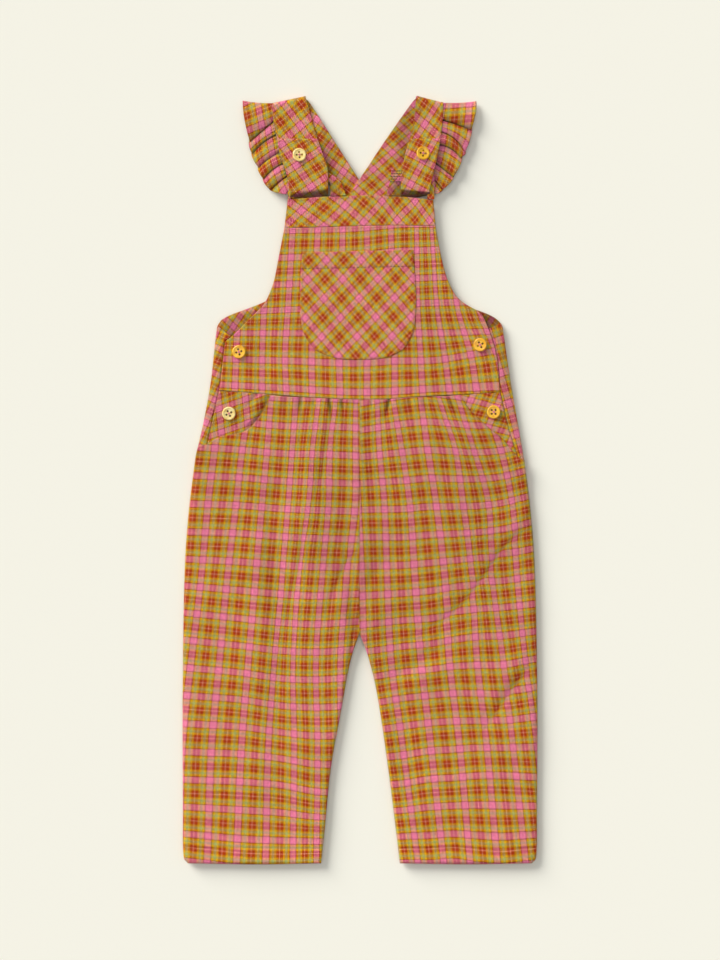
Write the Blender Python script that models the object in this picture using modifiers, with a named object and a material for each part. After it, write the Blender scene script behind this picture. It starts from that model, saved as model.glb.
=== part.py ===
"""Toddler's bib dungarees in checked twill, laid flat and face up.

Metres, +Z up. The origin is under the middle of the laid garment, and the
back lies on z = 0. The top of the garment points along +Y, and left and
right are as seen from above: left is -X, right is +X.

Every cloth piece is its own closed sheet. Pieces that meet at a seam stop
SEAM_GAP apart, and a piece that lies on another keeps LAY_GAP above it.
"""

import math
from collections import namedtuple

import bmesh
import bpy
from mathutils import Vector

MM = 0.001

# ---------------------------------------------------------------- sizes, mm
CLOTH = 1.2             # wall of a single sheet
STRAP_CLOTH = 1.6       # a strap is a folded band
SEAM_GAP = 0.4
LAY_GAP = 0.4

WAIST_Y = 76.0          # back waist seam
HEM_Y = -352.0

FRONT_LEVEL = 2.4       # underside of the front over the back
BIB_LEVEL = 4.1         # underside of the bib over the crossed straps
SIDE_LEVEL = 3.1        # underside of the front over the side plackets
LEG_EDGE_LEVEL = 1.7    # underside of a front leg at its side seams
LEG_CROWN = 1.6         # how much a front leg rises between its seams
LAYER = CLOTH + LAY_GAP

BUTTON_DIAMETER = 12.6
BUTTON_THICKNESS = 2.4
BUTTON_HOLE = 1.3
BUTTON_HOLE_SPACING = 1.55   # from the button's middle

BACK_STRAP_WIDTH = 30.2      # measured along X, across the slanting run
STRAP_BACK_MID = 0.8         # mid-height of a strap's run behind
STRAP_CROSS_RISE = 2.1       # how far the right strap climbs over the left
STRAP_FRONT_MID = 3.2
STRAP_TAB_MID = 2.8          # where the front run passes behind the tab
STRAP_RETURN_MID = 6.2       # the returned end, over the tab
STRAP_CROSSING = (0.0, 253.0)
STRAP_CROSSING_REACH = (15.5, 24.5)

TURN_STEPS = 6               # rows round a fold of a strap or frill

TAB_TOP_Y = 284.0
TAB_BAR = 9.0

# ------------------------------------------------------- outlines, x and y
# Side edges run from top to bottom, cross edges from left to right.
# A point written twice is a corner; the rest is one smooth curve.
SIDE_LEFT = (
    (-132.5, 134.0), (-137.0, 93.0), (-143.5, 56.0), (-152.0, 16.0),
    (-158.2, -35.0), (-161.6, -92.0), (-163.2, -200.0), (-163.0, -300.0),
    (-162.6, -343.0), (-158.5, HEM_Y),
)
SIDE_RIGHT = (
    (132.0, 136.0), (136.4, 105.0), (142.5, 68.0), (151.5, 16.0),
    (157.0, -28.0), (161.0, -85.0), (163.2, -200.0), (162.8, -300.0),
    (162.4, -343.0), (158.5, HEM_Y),
)
ARMHOLE_BACK_LEFT = ((-54.0, 181.5), (-90.0, 163.5), (-121.0, 151.5), (-130.0, 144.5))
ARMHOLE_BACK_RIGHT = ((54.0, 181.5), (92.0, 163.0), (120.0, 152.0), (130.0, 144.0))

CENTRE_TOP = (0.0, 74.7)
CROTCH = (-0.5, -140.0)
INSEAM_LEFT = (
    CENTRE_TOP, (-0.3, -60.0), CROTCH, CROTCH, (-9.2, -168.0), (-17.7, -214.0),
    (-26.8, -265.0), (-32.2, -319.0), (-35.6, HEM_Y),
)
INSEAM_RIGHT = (
    CENTRE_TOP, (-0.3, -60.0), CROTCH, CROTCH, (8.6, -166.0), (16.6, -202.0),
    (25.8, -265.0), (32.6, -319.0), (36.6, HEM_Y),
)
HEM_LEFT = ((-158.5, HEM_Y), (-98.0, HEM_Y - 1.0), (-35.6, HEM_Y))
HEM_RIGHT = ((36.6, HEM_Y), (90.0, HEM_Y - 1.0), (158.5, HEM_Y))

BAND_SEAM = ((-69.6, 232.0), (-24.0, 233.4), (28.0, 234.6), (69.6, 234.2))
BIB_TOP = ((-66.4, 258.8), (-27.6, 261.3), (8.0, 262.0), (37.0, 261.2), (67.4, 258.0))
BIB_SIDE_LEFT = (
    (-69.6, 232.0), (-74.7, 206.0), (-79.6, 182.0), (-87.4, 164.0), (-99.4, 146.2),
    (-114.0, 133.4), (-122.4, 127.6), (-122.4, 127.6), (-126.2, 106.0), (-129.6, 82.6),
)
BIB_SIDE_RIGHT = (
    (69.6, 234.2), (73.0, 214.0), (78.0, 190.0), (87.0, 170.5), (103.0, 157.6),
    (113.0, 149.5), (119.5, 139.0), (119.5, 139.0), (126.8, 120.0), (128.8, 81.4),
)
WAIST_FRONT = (
    (-129.6, 82.6), (-111.0, 81.4), (-81.5, 78.8), (-47.8, 76.3), (-7.5, 74.7),
    (22.4, 74.7), (52.3, 76.8), (92.0, 78.8), (128.8, 81.4),
)

FRONT_EDGE_LEFT = ((-129.6, 82.0), (-134.5, 60.0), (-140.0, 34.0))
FRONT_EDGE_RIGHT = ((128.8, 81.0), (136.0, 50.0), (144.4, 22.5))
OPENING_LEFT = ((-140.0, 34.0), (-128.8, 40.0), (-113.0, 43.2), (-101.2, 48.3), (-90.2, 62.0), (-82.0, 77.8))
OPENING_RIGHT = ((92.6, 77.8), (99.4, 66.7), (108.6, 57.5), (118.7, 48.3), (131.0, 38.0), (144.4, 22.5))

POCKET_LEFT = ((-53.2, 209.6), (-54.8, 182.0), (-54.6, 152.0), (-51.0, 134.0), (-41.6, 120.0))
POCKET_RIGHT = ((48.6, 212.0), (51.2, 182.0), (51.4, 155.0), (48.4, 135.0), (39.4, 120.0))
POCKET_TOP = ((-53.2, 209.6), (48.6, 212.0))
POCKET_BOTTOM = ((-41.6, 120.0), (-23.9, 112.9), (-1.1, 111.0), (24.0, 112.9), (39.4, 120.0))

# A strap's run behind, seen from above: the height up the garment, and the
# edge that faces the middle of the V. It starts on the back bodice.
BackRun = namedtuple("BackRun", "y inner")
LEFT_BACK_RUN = (
    BackRun(172.0, 54.0), BackRun(190.0, 47.5), BackRun(222.0, 32.5), BackRun(253.0, 14.0),
    BackRun(283.0, -5.0), BackRun(315.0, -25.4), BackRun(346.0, -45.2),
)
RIGHT_BACK_RUN = (
    BackRun(172.0, -54.0), BackRun(190.0, -47.5), BackRun(222.0, -33.5), BackRun(253.0, -16.0),
    BackRun(283.0, 3.4), BackRun(315.0, 24.4), BackRun(346.0, 44.6),
)

# A strap's run in front: its outer edge, where the frill is sewn in, and its
# inner edge. The first row is the fold on the shoulder, the last the turn
# under the tab.
FrontRun = namedtuple("FrontRun", "outer_x outer_y inner_x inner_y")
LEFT_FRONT_RUN = (
    FrontRun(-80.6, 344.6, -49.6, 351.2), FrontRun(-80.0, 330.0, -44.6, 333.5),
    FrontRun(-76.6, 314.0, -39.0, 314.0), FrontRun(-73.2, 298.0, -34.0, 298.5),
    FrontRun(-69.0, 285.0, -30.4, 286.0), FrontRun(-61.0, 270.0, -28.2, 269.6),
)
RIGHT_FRONT_RUN = (
    FrontRun(76.6, 345.0, 52.2, 351.0), FrontRun(76.0, 331.0, 50.0, 333.0),
    FrontRun(74.0, 314.0, 45.4, 314.0), FrontRun(71.2, 298.0, 41.2, 298.5),
    FrontRun(68.6, 285.0, 39.2, 286.0), FrontRun(63.4, 267.5, 36.8, 272.0),
)

# A tab: the outside and inside of its two legs, as distances from x = 0.
Tab = namedtuple("Tab", "outer window_outer window_inner inner")
LEFT_TAB = Tab(66.4, 62.2, 26.6, 20.0)
RIGHT_TAB = Tab(68.8, 64.4, 34.6, 24.6)

# A frill's folds from the shoulder down: each row is the foot of a fold, at
# the seam and at the loose edge. The frill climbs from a foot to the next
# crest, then drops to the next foot.
FrillFoot = namedtuple("FrillFoot", "seam_x seam_y loose_x loose_y")
LEFT_FRILL = (
    FrillFoot(-81.4, 345.4, -107.6, 346.6), FrillFoot(-80.6, 330.6, -102.4, 313.0),
    FrillFoot(-77.8, 317.0, -99.6, 301.5), FrillFoot(-74.6, 303.0, -94.2, 287.5),
    FrillFoot(-71.8, 292.0, -88.6, 275.0), FrillFoot(-68.4, 280.0, -78.4, 268.0),
    FrillFoot(-65.6, 271.0, -67.4, 264.4),
)
RIGHT_FRILL = (
    FrillFoot(77.4, 345.6, 106.8, 348.4), FrillFoot(76.6, 330.0, 104.0, 324.6),
    FrillFoot(75.2, 319.0, 102.0, 313.0), FrillFoot(73.2, 307.0, 96.0, 297.0),
    FrillFoot(70.6, 293.0, 89.6, 284.0), FrillFoot(68.6, 282.0, 80.6, 272.0),
    FrillFoot(66.2, 271.0, 70.4, 264.6),
)
FRILL_LOW = 1.3         # mid-height at a fold's foot
FRILL_HIGH = 4.6        # mid-height at a fold's crest
FRILL_LAST_HIGH = 3.0   # the last crest, which goes behind the tab
FRILL_SEAM_MID = 2.7
FRILL_CREST = 0.8       # how far along a fold its crest lies
FRILL_TURN_BACK = 20.0  # the frill's end, turned under at the shoulder

# A button: its name, its middle, and what it lies on.
Button = namedtuple("Button", "name x y under colour")
RETURN_TOP = STRAP_RETURN_MID + STRAP_CLOTH / 2
BUTTONS = (
    Button("button_strap_left", -55.7, 299.0, RETURN_TOP, "pale"),
    Button("button_strap_right", 57.9, 300.4, RETURN_TOP, "yellow"),
    Button("button_side_left", -111.3, 118.2, SIDE_LEVEL + CLOTH, "yellow"),
    Button("button_side_right", 110.4, 124.7, SIDE_LEVEL + CLOTH, "yellow"),
    Button("button_hip_left", -120.5, 61.6, SIDE_LEVEL + CLOTH, "pale"),
    Button("button_hip_right", 122.8, 63.0, SIDE_LEVEL + CLOTH, "yellow"),
)

CLOTH_COLOUR = (0.60, 0.33, 0.16)
BIAS_COLOUR = (0.62, 0.31, 0.17)
BACK_COLOUR = (0.50, 0.27, 0.13)
BUTTON_COLOURS = {"yellow": (0.86, 0.55, 0.10), "pale": (0.85, 0.66, 0.30)}


# ------------------------------------------------------------ plain helpers
def ramp(value, start, end):
    """Rise smoothly from 0 at start to 1 at end."""
    t = min(max((value - start) / (end - start), 0.0), 1.0)
    return t * t * (3.0 - 2.0 * t)


def moved(points, dx, dy):
    """The same outline, shifted."""
    return tuple((x + dx, y + dy) for x, y in points)


def runs_between_corners(points):
    """Break an outline at each point that is written twice in a row."""
    runs = [[Vector(points[0])]]
    for before, point in zip(points, points[1:]):
        if point == before:
            runs.append([Vector(point)])
        else:
            runs[-1].append(Vector(point))
    return runs


def smooth_run(run, steps=8):
    """Sample a smooth curve that passes through a run's points."""
    first = run[0] * 2.0 - run[1]
    last = run[-1] * 2.0 - run[-2]
    padded = [first] + run + [last]
    samples = []
    for a, b, c, d in zip(padded, padded[1:], padded[2:], padded[3:]):
        for step in range(steps):
            t = step / steps
            linear = (c - a) * t
            square = (a * 2.0 - b * 5.0 + c * 4.0 - d) * (t * t)
            cube = (b * 3.0 - a - c * 3.0 + d) * (t * t * t)
            samples.append((b * 2.0 + linear + square + cube) * 0.5)
    samples.append(run[-1])
    return samples


class Edge:
    """A smooth outline that can be read at any share of its length."""

    def __init__(self, points):
        self.samples = []
        for run in runs_between_corners(points):
            self.samples.extend(smooth_run(run))
        self.lengths = [0.0]
        for before, point in zip(self.samples, self.samples[1:]):
            self.lengths.append(self.lengths[-1] + (point - before).length)

    def at(self, share):
        wanted = share * self.lengths[-1]
        for i in range(1, len(self.samples)):
            if self.lengths[i] >= wanted - 1e-9:
                span = max(self.lengths[i] - self.lengths[i - 1], 1e-9)
                t = (wanted - self.lengths[i - 1]) / span
                return self.samples[i - 1].lerp(self.samples[i], t)
        return self.samples[-1].copy()

    def at_height(self, y):
        """The point where a side edge, listed from the top, passes height y."""
        for above, below in zip(self.samples, self.samples[1:]):
            if above.y >= y >= below.y:
                t = (above.y - y) / max(above.y - below.y, 1e-9)
                point = above.lerp(below, t)
                return (point.x, y)
        return tuple(self.samples[-1])

    def distance(self, x, y):
        return min((point - Vector((x, y))).length for point in self.samples)


def patch(left, right, top, bottom):
    """Fill four edges: u runs left to right, v runs top to bottom."""
    left, right, top, bottom = Edge(left), Edge(right), Edge(top), Edge(bottom)

    def place(u, v):
        across = left.at(v) * (1.0 - u) + right.at(v) * u
        down = top.at(u) * (1.0 - v) + bottom.at(u) * v
        upper = top.at(0.0) * (1.0 - u) + top.at(1.0) * u
        lower = bottom.at(0.0) * (1.0 - u) + bottom.at(1.0) * u
        return across + down - upper * (1.0 - v) - lower * v

    return place


# ------------------------------------------------------- heights, all in mm
def front_under(x, y):
    """Underside of the front bodice, bib and hip panels."""
    bib = (BIB_LEVEL - FRONT_LEVEL) * ramp(y, 128.0, 176.0)
    side = (SIDE_LEVEL - FRONT_LEVEL) * ramp(abs(x), 84.0, 106.0) * (1.0 - ramp(y, 128.0, 176.0))
    return FRONT_LEVEL + bib + side


def crossing_rise(x, y):
    """How far the right strap climbs over the left one where they cross."""
    reach_x, reach_y = STRAP_CROSSING_REACH
    away = abs(x - STRAP_CROSSING[0]) / reach_x + abs(y - STRAP_CROSSING[1]) / reach_y
    return STRAP_CROSS_RISE * (1.0 - ramp(away, 1.25, 2.4))


def stays_down(x, y):
    """No rise: the band lies at its own height. Well below any mid-height."""
    return -STRAP_BACK_MID


def leg_under(opening):
    """Underside of a front leg, raised where it lies over its hip panel."""
    edge = Edge(opening)

    def under(x, y, u):
        seam_side = LEG_EDGE_LEVEL + (SIDE_LEVEL - LEG_EDGE_LEVEL) * ramp(y, -20.0, 14.0)
        crown = LEG_CROWN * math.sin(math.pi * min(max(u, 0.0), 1.0)) ** 0.6
        crowned = LEG_EDGE_LEVEL + crown
        level = max(crowned, seam_side * ramp(abs(x), 60.0, 100.0))
        over_hip = 1.0 - ramp(edge.distance(x, y), 17.0, 36.0)
        hip_top = front_under(x, y) + LAYER + 0.2
        return level * (1.0 - over_hip) + max(hip_top, level) * over_hip

    return under


# ------------------------------------------------------------ scene helpers
def clear_scene():
    for thing in list(bpy.data.objects):
        bpy.data.objects.remove(thing, do_unlink=True)


def new_collection(name):
    collection = bpy.data.collections.new(name)
    bpy.context.scene.collection.children.link(collection)
    return collection


def make_material(name, colour, roughness, metallic=0.0):
    material = bpy.data.materials.new(name)
    material.use_nodes = True
    shader = material.node_tree.nodes["Principled BSDF"]
    shader.inputs["Base Color"].default_value = (*colour, 1.0)
    shader.inputs["Roughness"].default_value = roughness
    shader.inputs["Metallic"].default_value = metallic
    return material


def add_object(name, mesh, material, collection):
    thing = bpy.data.objects.new(name, mesh)
    mesh.materials.append(material)
    collection.objects.link(thing)
    return thing


def thicken(thing, thickness, offset):
    """Give a sheet its wall: offset 1 grows it upwards, 0 both ways."""
    solidify = thing.modifiers.new("wall", "SOLIDIFY")
    solidify.thickness = thickness * MM
    solidify.offset = offset
    solidify.use_even_offset = True
    solidify.use_rim = True


def bent_grid(name, columns, rows, place):
    """A flat grid whose points are moved to place(u, v), given in mm."""
    mesh = bpy.data.meshes.new(name)
    grid = bmesh.new()
    bmesh.ops.create_grid(grid, x_segments=columns, y_segments=rows, size=1.0)
    for vert in grid.verts:
        u = (vert.co.x + 1.0) / 2.0
        v = (1.0 - vert.co.y) / 2.0
        vert.co = Vector(place(u, v)) * MM
    grid.normal_update()
    grid.to_mesh(mesh)
    grid.free()
    mesh.shade_smooth()
    return mesh


def lay_panel(name, place_flat, under, columns, rows, material, collection):
    """Lay a sheet whose underside follows under(x, y, u)."""

    def place(u, v):
        flat = place_flat(u, v)
        return (flat.x, flat.y, under(flat.x, flat.y, u))

    mesh = bent_grid(name, columns, rows, place)
    panel = add_object(name, mesh, material, collection)
    thicken(panel, CLOTH, 1.0)
    return panel


# -------------------------------------------------------------- cloth parts
def side_from(side, start_y):
    """The part of a side outline below start_y."""
    rest = [point for point in side if point[1] < start_y - 4.0]
    return (Edge(side).at_height(start_y), *rest)


def side_to(side, end_y):
    """The part of a side outline above end_y."""
    rest = [point for point in side if point[1] > end_y + 4.0]
    return (*rest, Edge(side).at_height(end_y))


def build_back(material, collection):
    half = SEAM_GAP / 2
    left = ARMHOLE_BACK_LEFT + side_to(SIDE_LEFT, WAIST_Y)
    right = ARMHOLE_BACK_RIGHT + side_to(SIDE_RIGHT, WAIST_Y)
    top = (ARMHOLE_BACK_LEFT[0], (0.0, 180.0), ARMHOLE_BACK_RIGHT[0])
    bottom = (left[-1], (0.0, WAIST_Y), right[-1])
    place = patch(left, right, top, bottom)
    lay_panel("back_bodice", place, lambda x, y, u: 0.0, 8, 9, material, collection)

    leg_top_y = WAIST_Y - SEAM_GAP
    outer_left = side_from(SIDE_LEFT, leg_top_y)
    outer_right = side_from(SIDE_RIGHT, leg_top_y)
    centre_top = (0.0, leg_top_y)
    inner_left = moved((centre_top, *INSEAM_LEFT[1:]), -half, 0.0)
    inner_right = moved((centre_top, *INSEAM_RIGHT[1:]), half, 0.0)
    legs = (
        ("back_leg_left", outer_left, inner_left, HEM_LEFT),
        ("back_leg_right", inner_right, outer_right, HEM_RIGHT),
    )
    for name, left, right, hem in legs:
        place = patch(left, right, (left[0], right[0]), (left[-1], hem[1], right[-1]))
        lay_panel(name, place, lambda x, y, u: 0.0, 4, 16, material, collection)


def build_placket(name, side, front_edge_x, material, collection):
    """A strip of the back that comes forward under the front edge."""
    outer = side_to(side, 18.0)
    top_y = outer[0][1]
    inner = (
        (front_edge_x[0], top_y - 4.0), (front_edge_x[1], 84.0), (front_edge_x[2], outer[-1][1]),
    )
    left, right = (outer, inner) if side is SIDE_LEFT else (inner, outer)
    place = patch(left, right, (left[0], right[0]), (left[-1], right[-1]))
    lay_panel(name, place, lambda x, y, u: CLOTH + LAY_GAP, 2, 8, material, collection)


def build_hip_panel(name, edge, opening, reach, material, collection):
    """The bias panel behind a pocket opening, wider than what shows."""
    below = -SEAM_GAP / 2
    waist = moved(tuple(p for p in WAIST_FRONT if 70.0 < p[0] * reach < 112.0), 0.0, below)
    if reach < 0.0:
        top = (edge[0], *waist[:2], (-72.0, 77.8 + below))
        left = (edge[0], edge[1], edge[2], (edge[2][0] - 1.4, 24.0))
        right = (top[-1], (-80.0, 55.0), (-92.0, 38.0))
        bottom = (left[-1], (-115.0, 30.0), right[-1])
    else:
        top = ((82.6, 78.0 + below), *waist[-1:], edge[0])
        left = (top[0], (88.0, 60.0), (100.0, 46.0))
        right = (edge[0], edge[1], edge[2], (edge[2][0] + 1.2, 14.0))
        bottom = (left[-1], (122.0, 30.0), right[-1])
    place = patch(left, right, top, bottom)
    lay_panel(name, place, lambda x, y, u: front_under(x, y), 5, 5, material, collection)


def build_front_legs(material, collection):
    half = SEAM_GAP / 2
    waist = moved(WAIST_FRONT, 0.0, -half)
    outer_left = side_from(SIDE_LEFT, 30.0)
    outer_right = side_from(SIDE_RIGHT, 19.0)
    inner_left = moved((CENTRE_TOP, *INSEAM_LEFT[1:]), -half, -half)
    inner_right = moved((CENTRE_TOP, *INSEAM_RIGHT[1:]), half, -half)
    top_left = (outer_left[0], *OPENING_LEFT, OPENING_LEFT[-1], *waist[3:5], inner_left[0])
    top_right = (inner_right[0], *waist[5:7], OPENING_RIGHT[0], *OPENING_RIGHT, outer_right[0])
    legs = (
        ("front_leg_left", outer_left, inner_left, top_left, HEM_LEFT, OPENING_LEFT),
        ("front_leg_right", inner_right, outer_right, top_right, HEM_RIGHT, OPENING_RIGHT),
    )
    for name, left, right, top, hem, opening in legs:
        bottom = (left[-1], (hem[1][0], hem[1][1] - half), right[-1])
        place = patch(left, right, top, bottom)
        lay_panel(name, place, leg_under(opening), 10, 22, material, collection)


def build_front_bodice(plain, bias, collection):
    half = SEAM_GAP / 2

    def under(x, y, u):
        return front_under(x, y)

    seam_low = moved(BAND_SEAM, 0.0, -half)
    seam_high = moved(BAND_SEAM, 0.0, half)
    waist = moved(WAIST_FRONT, 0.0, half)
    left = (seam_low[0], *BIB_SIDE_LEFT[1:-1], waist[0])
    right = (seam_low[-1], *BIB_SIDE_RIGHT[1:-1], waist[-1])
    place = patch(left, right, seam_low, waist)
    lay_panel("bib_front", place, under, 14, 13, plain, collection)

    left = (BIB_TOP[0], seam_high[0])
    right = (BIB_TOP[-1], seam_high[-1])
    lay_panel("bib_band", patch(left, right, BIB_TOP, seam_high), under, 14, 2, bias, collection)

    def pocket_under(x, y, u):
        return front_under(x, y) + LAYER + 0.1

    place = patch(POCKET_LEFT, POCKET_RIGHT, POCKET_TOP, POCKET_BOTTOM)
    lay_panel("chest_pocket", place, pocket_under, 9, 9, bias, collection)


def build_tab(name, tab, side, material, collection):
    """An upturned U above the band: a bar on two legs."""
    foot = Edge(BIB_TOP)

    def band_top(x):
        nearest = min(foot.samples, key=lambda point: abs(point.x - x))
        return nearest.y + SEAM_GAP + 0.2

    outline = []
    for x, top_y in (
        (tab.outer, TAB_TOP_Y - 2.0), (tab.outer - 2.0, TAB_TOP_Y),
        (tab.inner + 7.0, TAB_TOP_Y), (tab.inner, TAB_TOP_Y - 9.0),
    ):
        outline.append((side * x, top_y))
    outline.append((side * tab.inner, band_top(side * tab.inner)))
    outline.append((side * tab.window_inner, band_top(side * tab.window_inner)))
    outline.append((side * tab.window_inner, TAB_TOP_Y - TAB_BAR))
    outline.append((side * tab.window_outer, TAB_TOP_Y - TAB_BAR))
    outline.append((side * tab.window_outer, band_top(side * tab.window_outer)))
    outline.append((side * tab.outer, band_top(side * tab.outer)))

    curve = bpy.data.curves.new(name, "CURVE")
    curve.dimensions = "2D"
    curve.fill_mode = "BOTH"
    curve.extrude = CLOTH / 2 * MM
    spline = curve.splines.new("POLY")
    spline.points.add(len(outline) - 1)
    for point, (x, y) in zip(spline.points, outline):
        point.co = (x * MM, y * MM, 0.0, 1.0)
    spline.use_cyclic_u = True
    guide = bpy.data.objects.new(name + "_outline", curve)
    collection.objects.link(guide)
    guide.location.z = (BIB_LEVEL + CLOTH / 2) * MM
    bpy.context.view_layer.update()
    evaluated = guide.evaluated_get(bpy.context.evaluated_depsgraph_get())
    mesh = bpy.data.meshes.new_from_object(evaluated)
    welded = bmesh.new()
    welded.from_mesh(mesh)
    bmesh.ops.remove_doubles(welded, verts=welded.verts, dist=0.0001 * 0.1)
    welded.to_mesh(mesh)
    welded.free()
    mesh.name = name
    mesh.materials.clear()
    tab_object = add_object(name, mesh, material, collection)
    tab_object.matrix_world = guide.matrix_world
    bpy.data.objects.remove(guide, do_unlink=True)
    bpy.data.curves.remove(curve)


def half_turn(outer, inner, low, high, heading):
    """Stations that carry a band round from mid-height low to high.

    outer and inner are the ends of the fold line, and heading is 1 where the
    fold bulges up the garment and -1 where it bulges down.
    """
    along = (inner - outer).normalized()
    bulge = Vector((-along.y, along.x, 0.0))
    if bulge.y * heading < 0.0:
        bulge = -bulge
    radius = (high - low) / 2
    stations = []
    for step in range(TURN_STEPS + 1):
        angle = -math.pi / 2 + math.pi * step / TURN_STEPS
        shift = bulge * (radius * math.cos(angle))
        shift.z = low + radius + radius * math.sin(angle)
        stations.append((outer + shift, inner + shift))
    return stations


def strap_stations(back_run, front_run, side):
    """Edges of a strap from its end on the back to its returned end.

    Each station is an outer and an inner point, in mm, at mid-thickness.
    side is -1 for the left strap and 1 for the right one.
    """
    stations = []
    for y, inner in back_run:
        outer = inner + side * BACK_STRAP_WIDTH
        mid = STRAP_BACK_MID + (CLOTH + LAY_GAP) * (1.0 - ramp(y, 184.0, 205.0))
        stations.append((Vector((outer, y, mid)), Vector((inner, y, mid))))

    fold = front_run[0]
    shoulder_out = Vector((fold.outer_x, fold.outer_y, 0.0))
    shoulder_in = Vector((fold.inner_x, fold.inner_y, 0.0))
    stations += half_turn(shoulder_out, shoulder_in, STRAP_BACK_MID, STRAP_FRONT_MID, 1.0)

    for row in front_run[1:-1]:
        mid = STRAP_TAB_MID + (STRAP_FRONT_MID - STRAP_TAB_MID) * ramp(row.outer_y, 286.0, 312.0)
        stations.append((Vector((row.outer_x, row.outer_y, mid)), Vector((row.inner_x, row.inner_y, mid))))

    turn = front_run[-1]
    turn_out = Vector((turn.outer_x, turn.outer_y, 0.0))
    turn_in = Vector((turn.inner_x, turn.inner_y, 0.0))
    stations += half_turn(turn_out, turn_in, STRAP_TAB_MID, STRAP_RETURN_MID, -1.0)

    for row in reversed(front_run[2:-1]):
        outer = Vector((row.outer_x, row.outer_y, STRAP_RETURN_MID))
        inner = Vector((row.inner_x, row.inner_y, STRAP_RETURN_MID))
        stations.append((outer, inner))
    return stations


def build_ribbon(name, stations, spacing, rise, columns, thickness, material, collection):
    """Sweep a sheet along its stations, with a row at least every spacing."""
    rows = [stations[0]]
    for before, station in zip(stations, stations[1:]):
        spread = max((station[i] - before[i]).length for i in range(2))
        pieces = max(1, math.ceil(spread / spacing))
        for step in range(1, pieces + 1):
            t = step / pieces
            rows.append((before[0].lerp(station[0], t), before[1].lerp(station[1], t)))

    def place(u, v):
        row = rows[round(v * (len(rows) - 1))]
        point = row[0].lerp(row[1], u)
        point.z = max(point.z, STRAP_BACK_MID + rise(point.x, point.y))
        return point

    mesh = bent_grid(name, columns, len(rows) - 1, place)
    ribbon = add_object(name, mesh, material, collection)
    thicken(ribbon, thickness, 0.0)


def frill_stations(frill, side):
    """Seam and loose edge of a frill, from its turned-back end downwards."""
    top = frill[0]
    seam_top = Vector((top.seam_x, top.seam_y, 0.0))
    loose_top = Vector((top.loose_x, top.loose_y, 0.0))
    stations = []
    for share in (1.0, 0.5):
        lean = Vector((-side * 9.0, -FRILL_TURN_BACK, 0.0)) * share
        lean.z = CLOTH / 2
        stations.append((seam_top + lean, loose_top + lean))
    stations += half_turn(seam_top, loose_top, CLOTH / 2, FRILL_SEAM_MID, 1.0)
    for foot, following in zip(frill, frill[1:]):
        crest = FRILL_LAST_HIGH if following is frill[-1] else FRILL_HIGH
        for share, loose_mid in ((0.4, 0.6 * crest), (FRILL_CREST, crest), (1.0, FRILL_LOW)):
            seam_x = foot.seam_x + (following.seam_x - foot.seam_x) * share
            seam_y = foot.seam_y + (following.seam_y - foot.seam_y) * share
            loose_x = foot.loose_x + (following.loose_x - foot.loose_x) * share
            loose_y = foot.loose_y + (following.loose_y - foot.loose_y) * share
            stations.append((Vector((seam_x, seam_y, FRILL_SEAM_MID)), Vector((loose_x, loose_y, loose_mid))))
    return stations


# ------------------------------------------------------------------ buttons
def build_button(button, material, collection, cutters):
    """A turned disc with a raised rim and four thread holes."""
    radius = BUTTON_DIAMETER / 2
    half = BUTTON_THICKNESS / 2
    profile = (
        (0.0, 0.45 * half), (0.62 * radius, 0.45 * half), (0.76 * radius, half),
        (0.92 * radius, half), (radius, 0.3 * half), (0.94 * radius, -0.7 * half),
        (0.80 * radius, -half), (0.0, -half),
    )
    mesh = bpy.data.meshes.new(button.name)
    mesh.from_pydata([(x * MM, 0.0, z * MM) for x, z in profile], [(i, i + 1) for i in range(7)], [])
    disc = add_object(button.name, mesh, material, collection)
    turn = disc.modifiers.new("turn", "SCREW")
    turn.steps = 20
    turn.render_steps = 20
    turn.use_merge_vertices = True
    turn.merge_threshold = 0.00001
    bottom = button.under + LAY_GAP
    disc.location = (button.x * MM, button.y * MM, (bottom + half) * MM)

    for index in range(4):
        angle = math.pi / 4 + index * math.pi / 2
        bpy.ops.mesh.primitive_cylinder_add(
            vertices=6, radius=BUTTON_HOLE / 2 * MM, depth=2.0 * BUTTON_THICKNESS * MM)
        drill = bpy.context.object
        drill.name = "%s_drill_%d" % (button.name, index)
        reach = BUTTON_HOLE_SPACING * math.sqrt(2.0) * 0.9
        drill.location = disc.location + Vector((math.cos(angle), math.sin(angle), 0.0)) * reach * MM
        drill.hide_render = True
        drill.display_type = "WIRE"
        for owner in list(drill.users_collection):
            owner.objects.unlink(drill)
        cutters.objects.link(drill)
        hole = disc.modifiers.new("hole_%d" % index, "BOOLEAN")
        hole.operation = "DIFFERENCE"
        hole.solver = "EXACT"
        hole.object = drill


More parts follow.
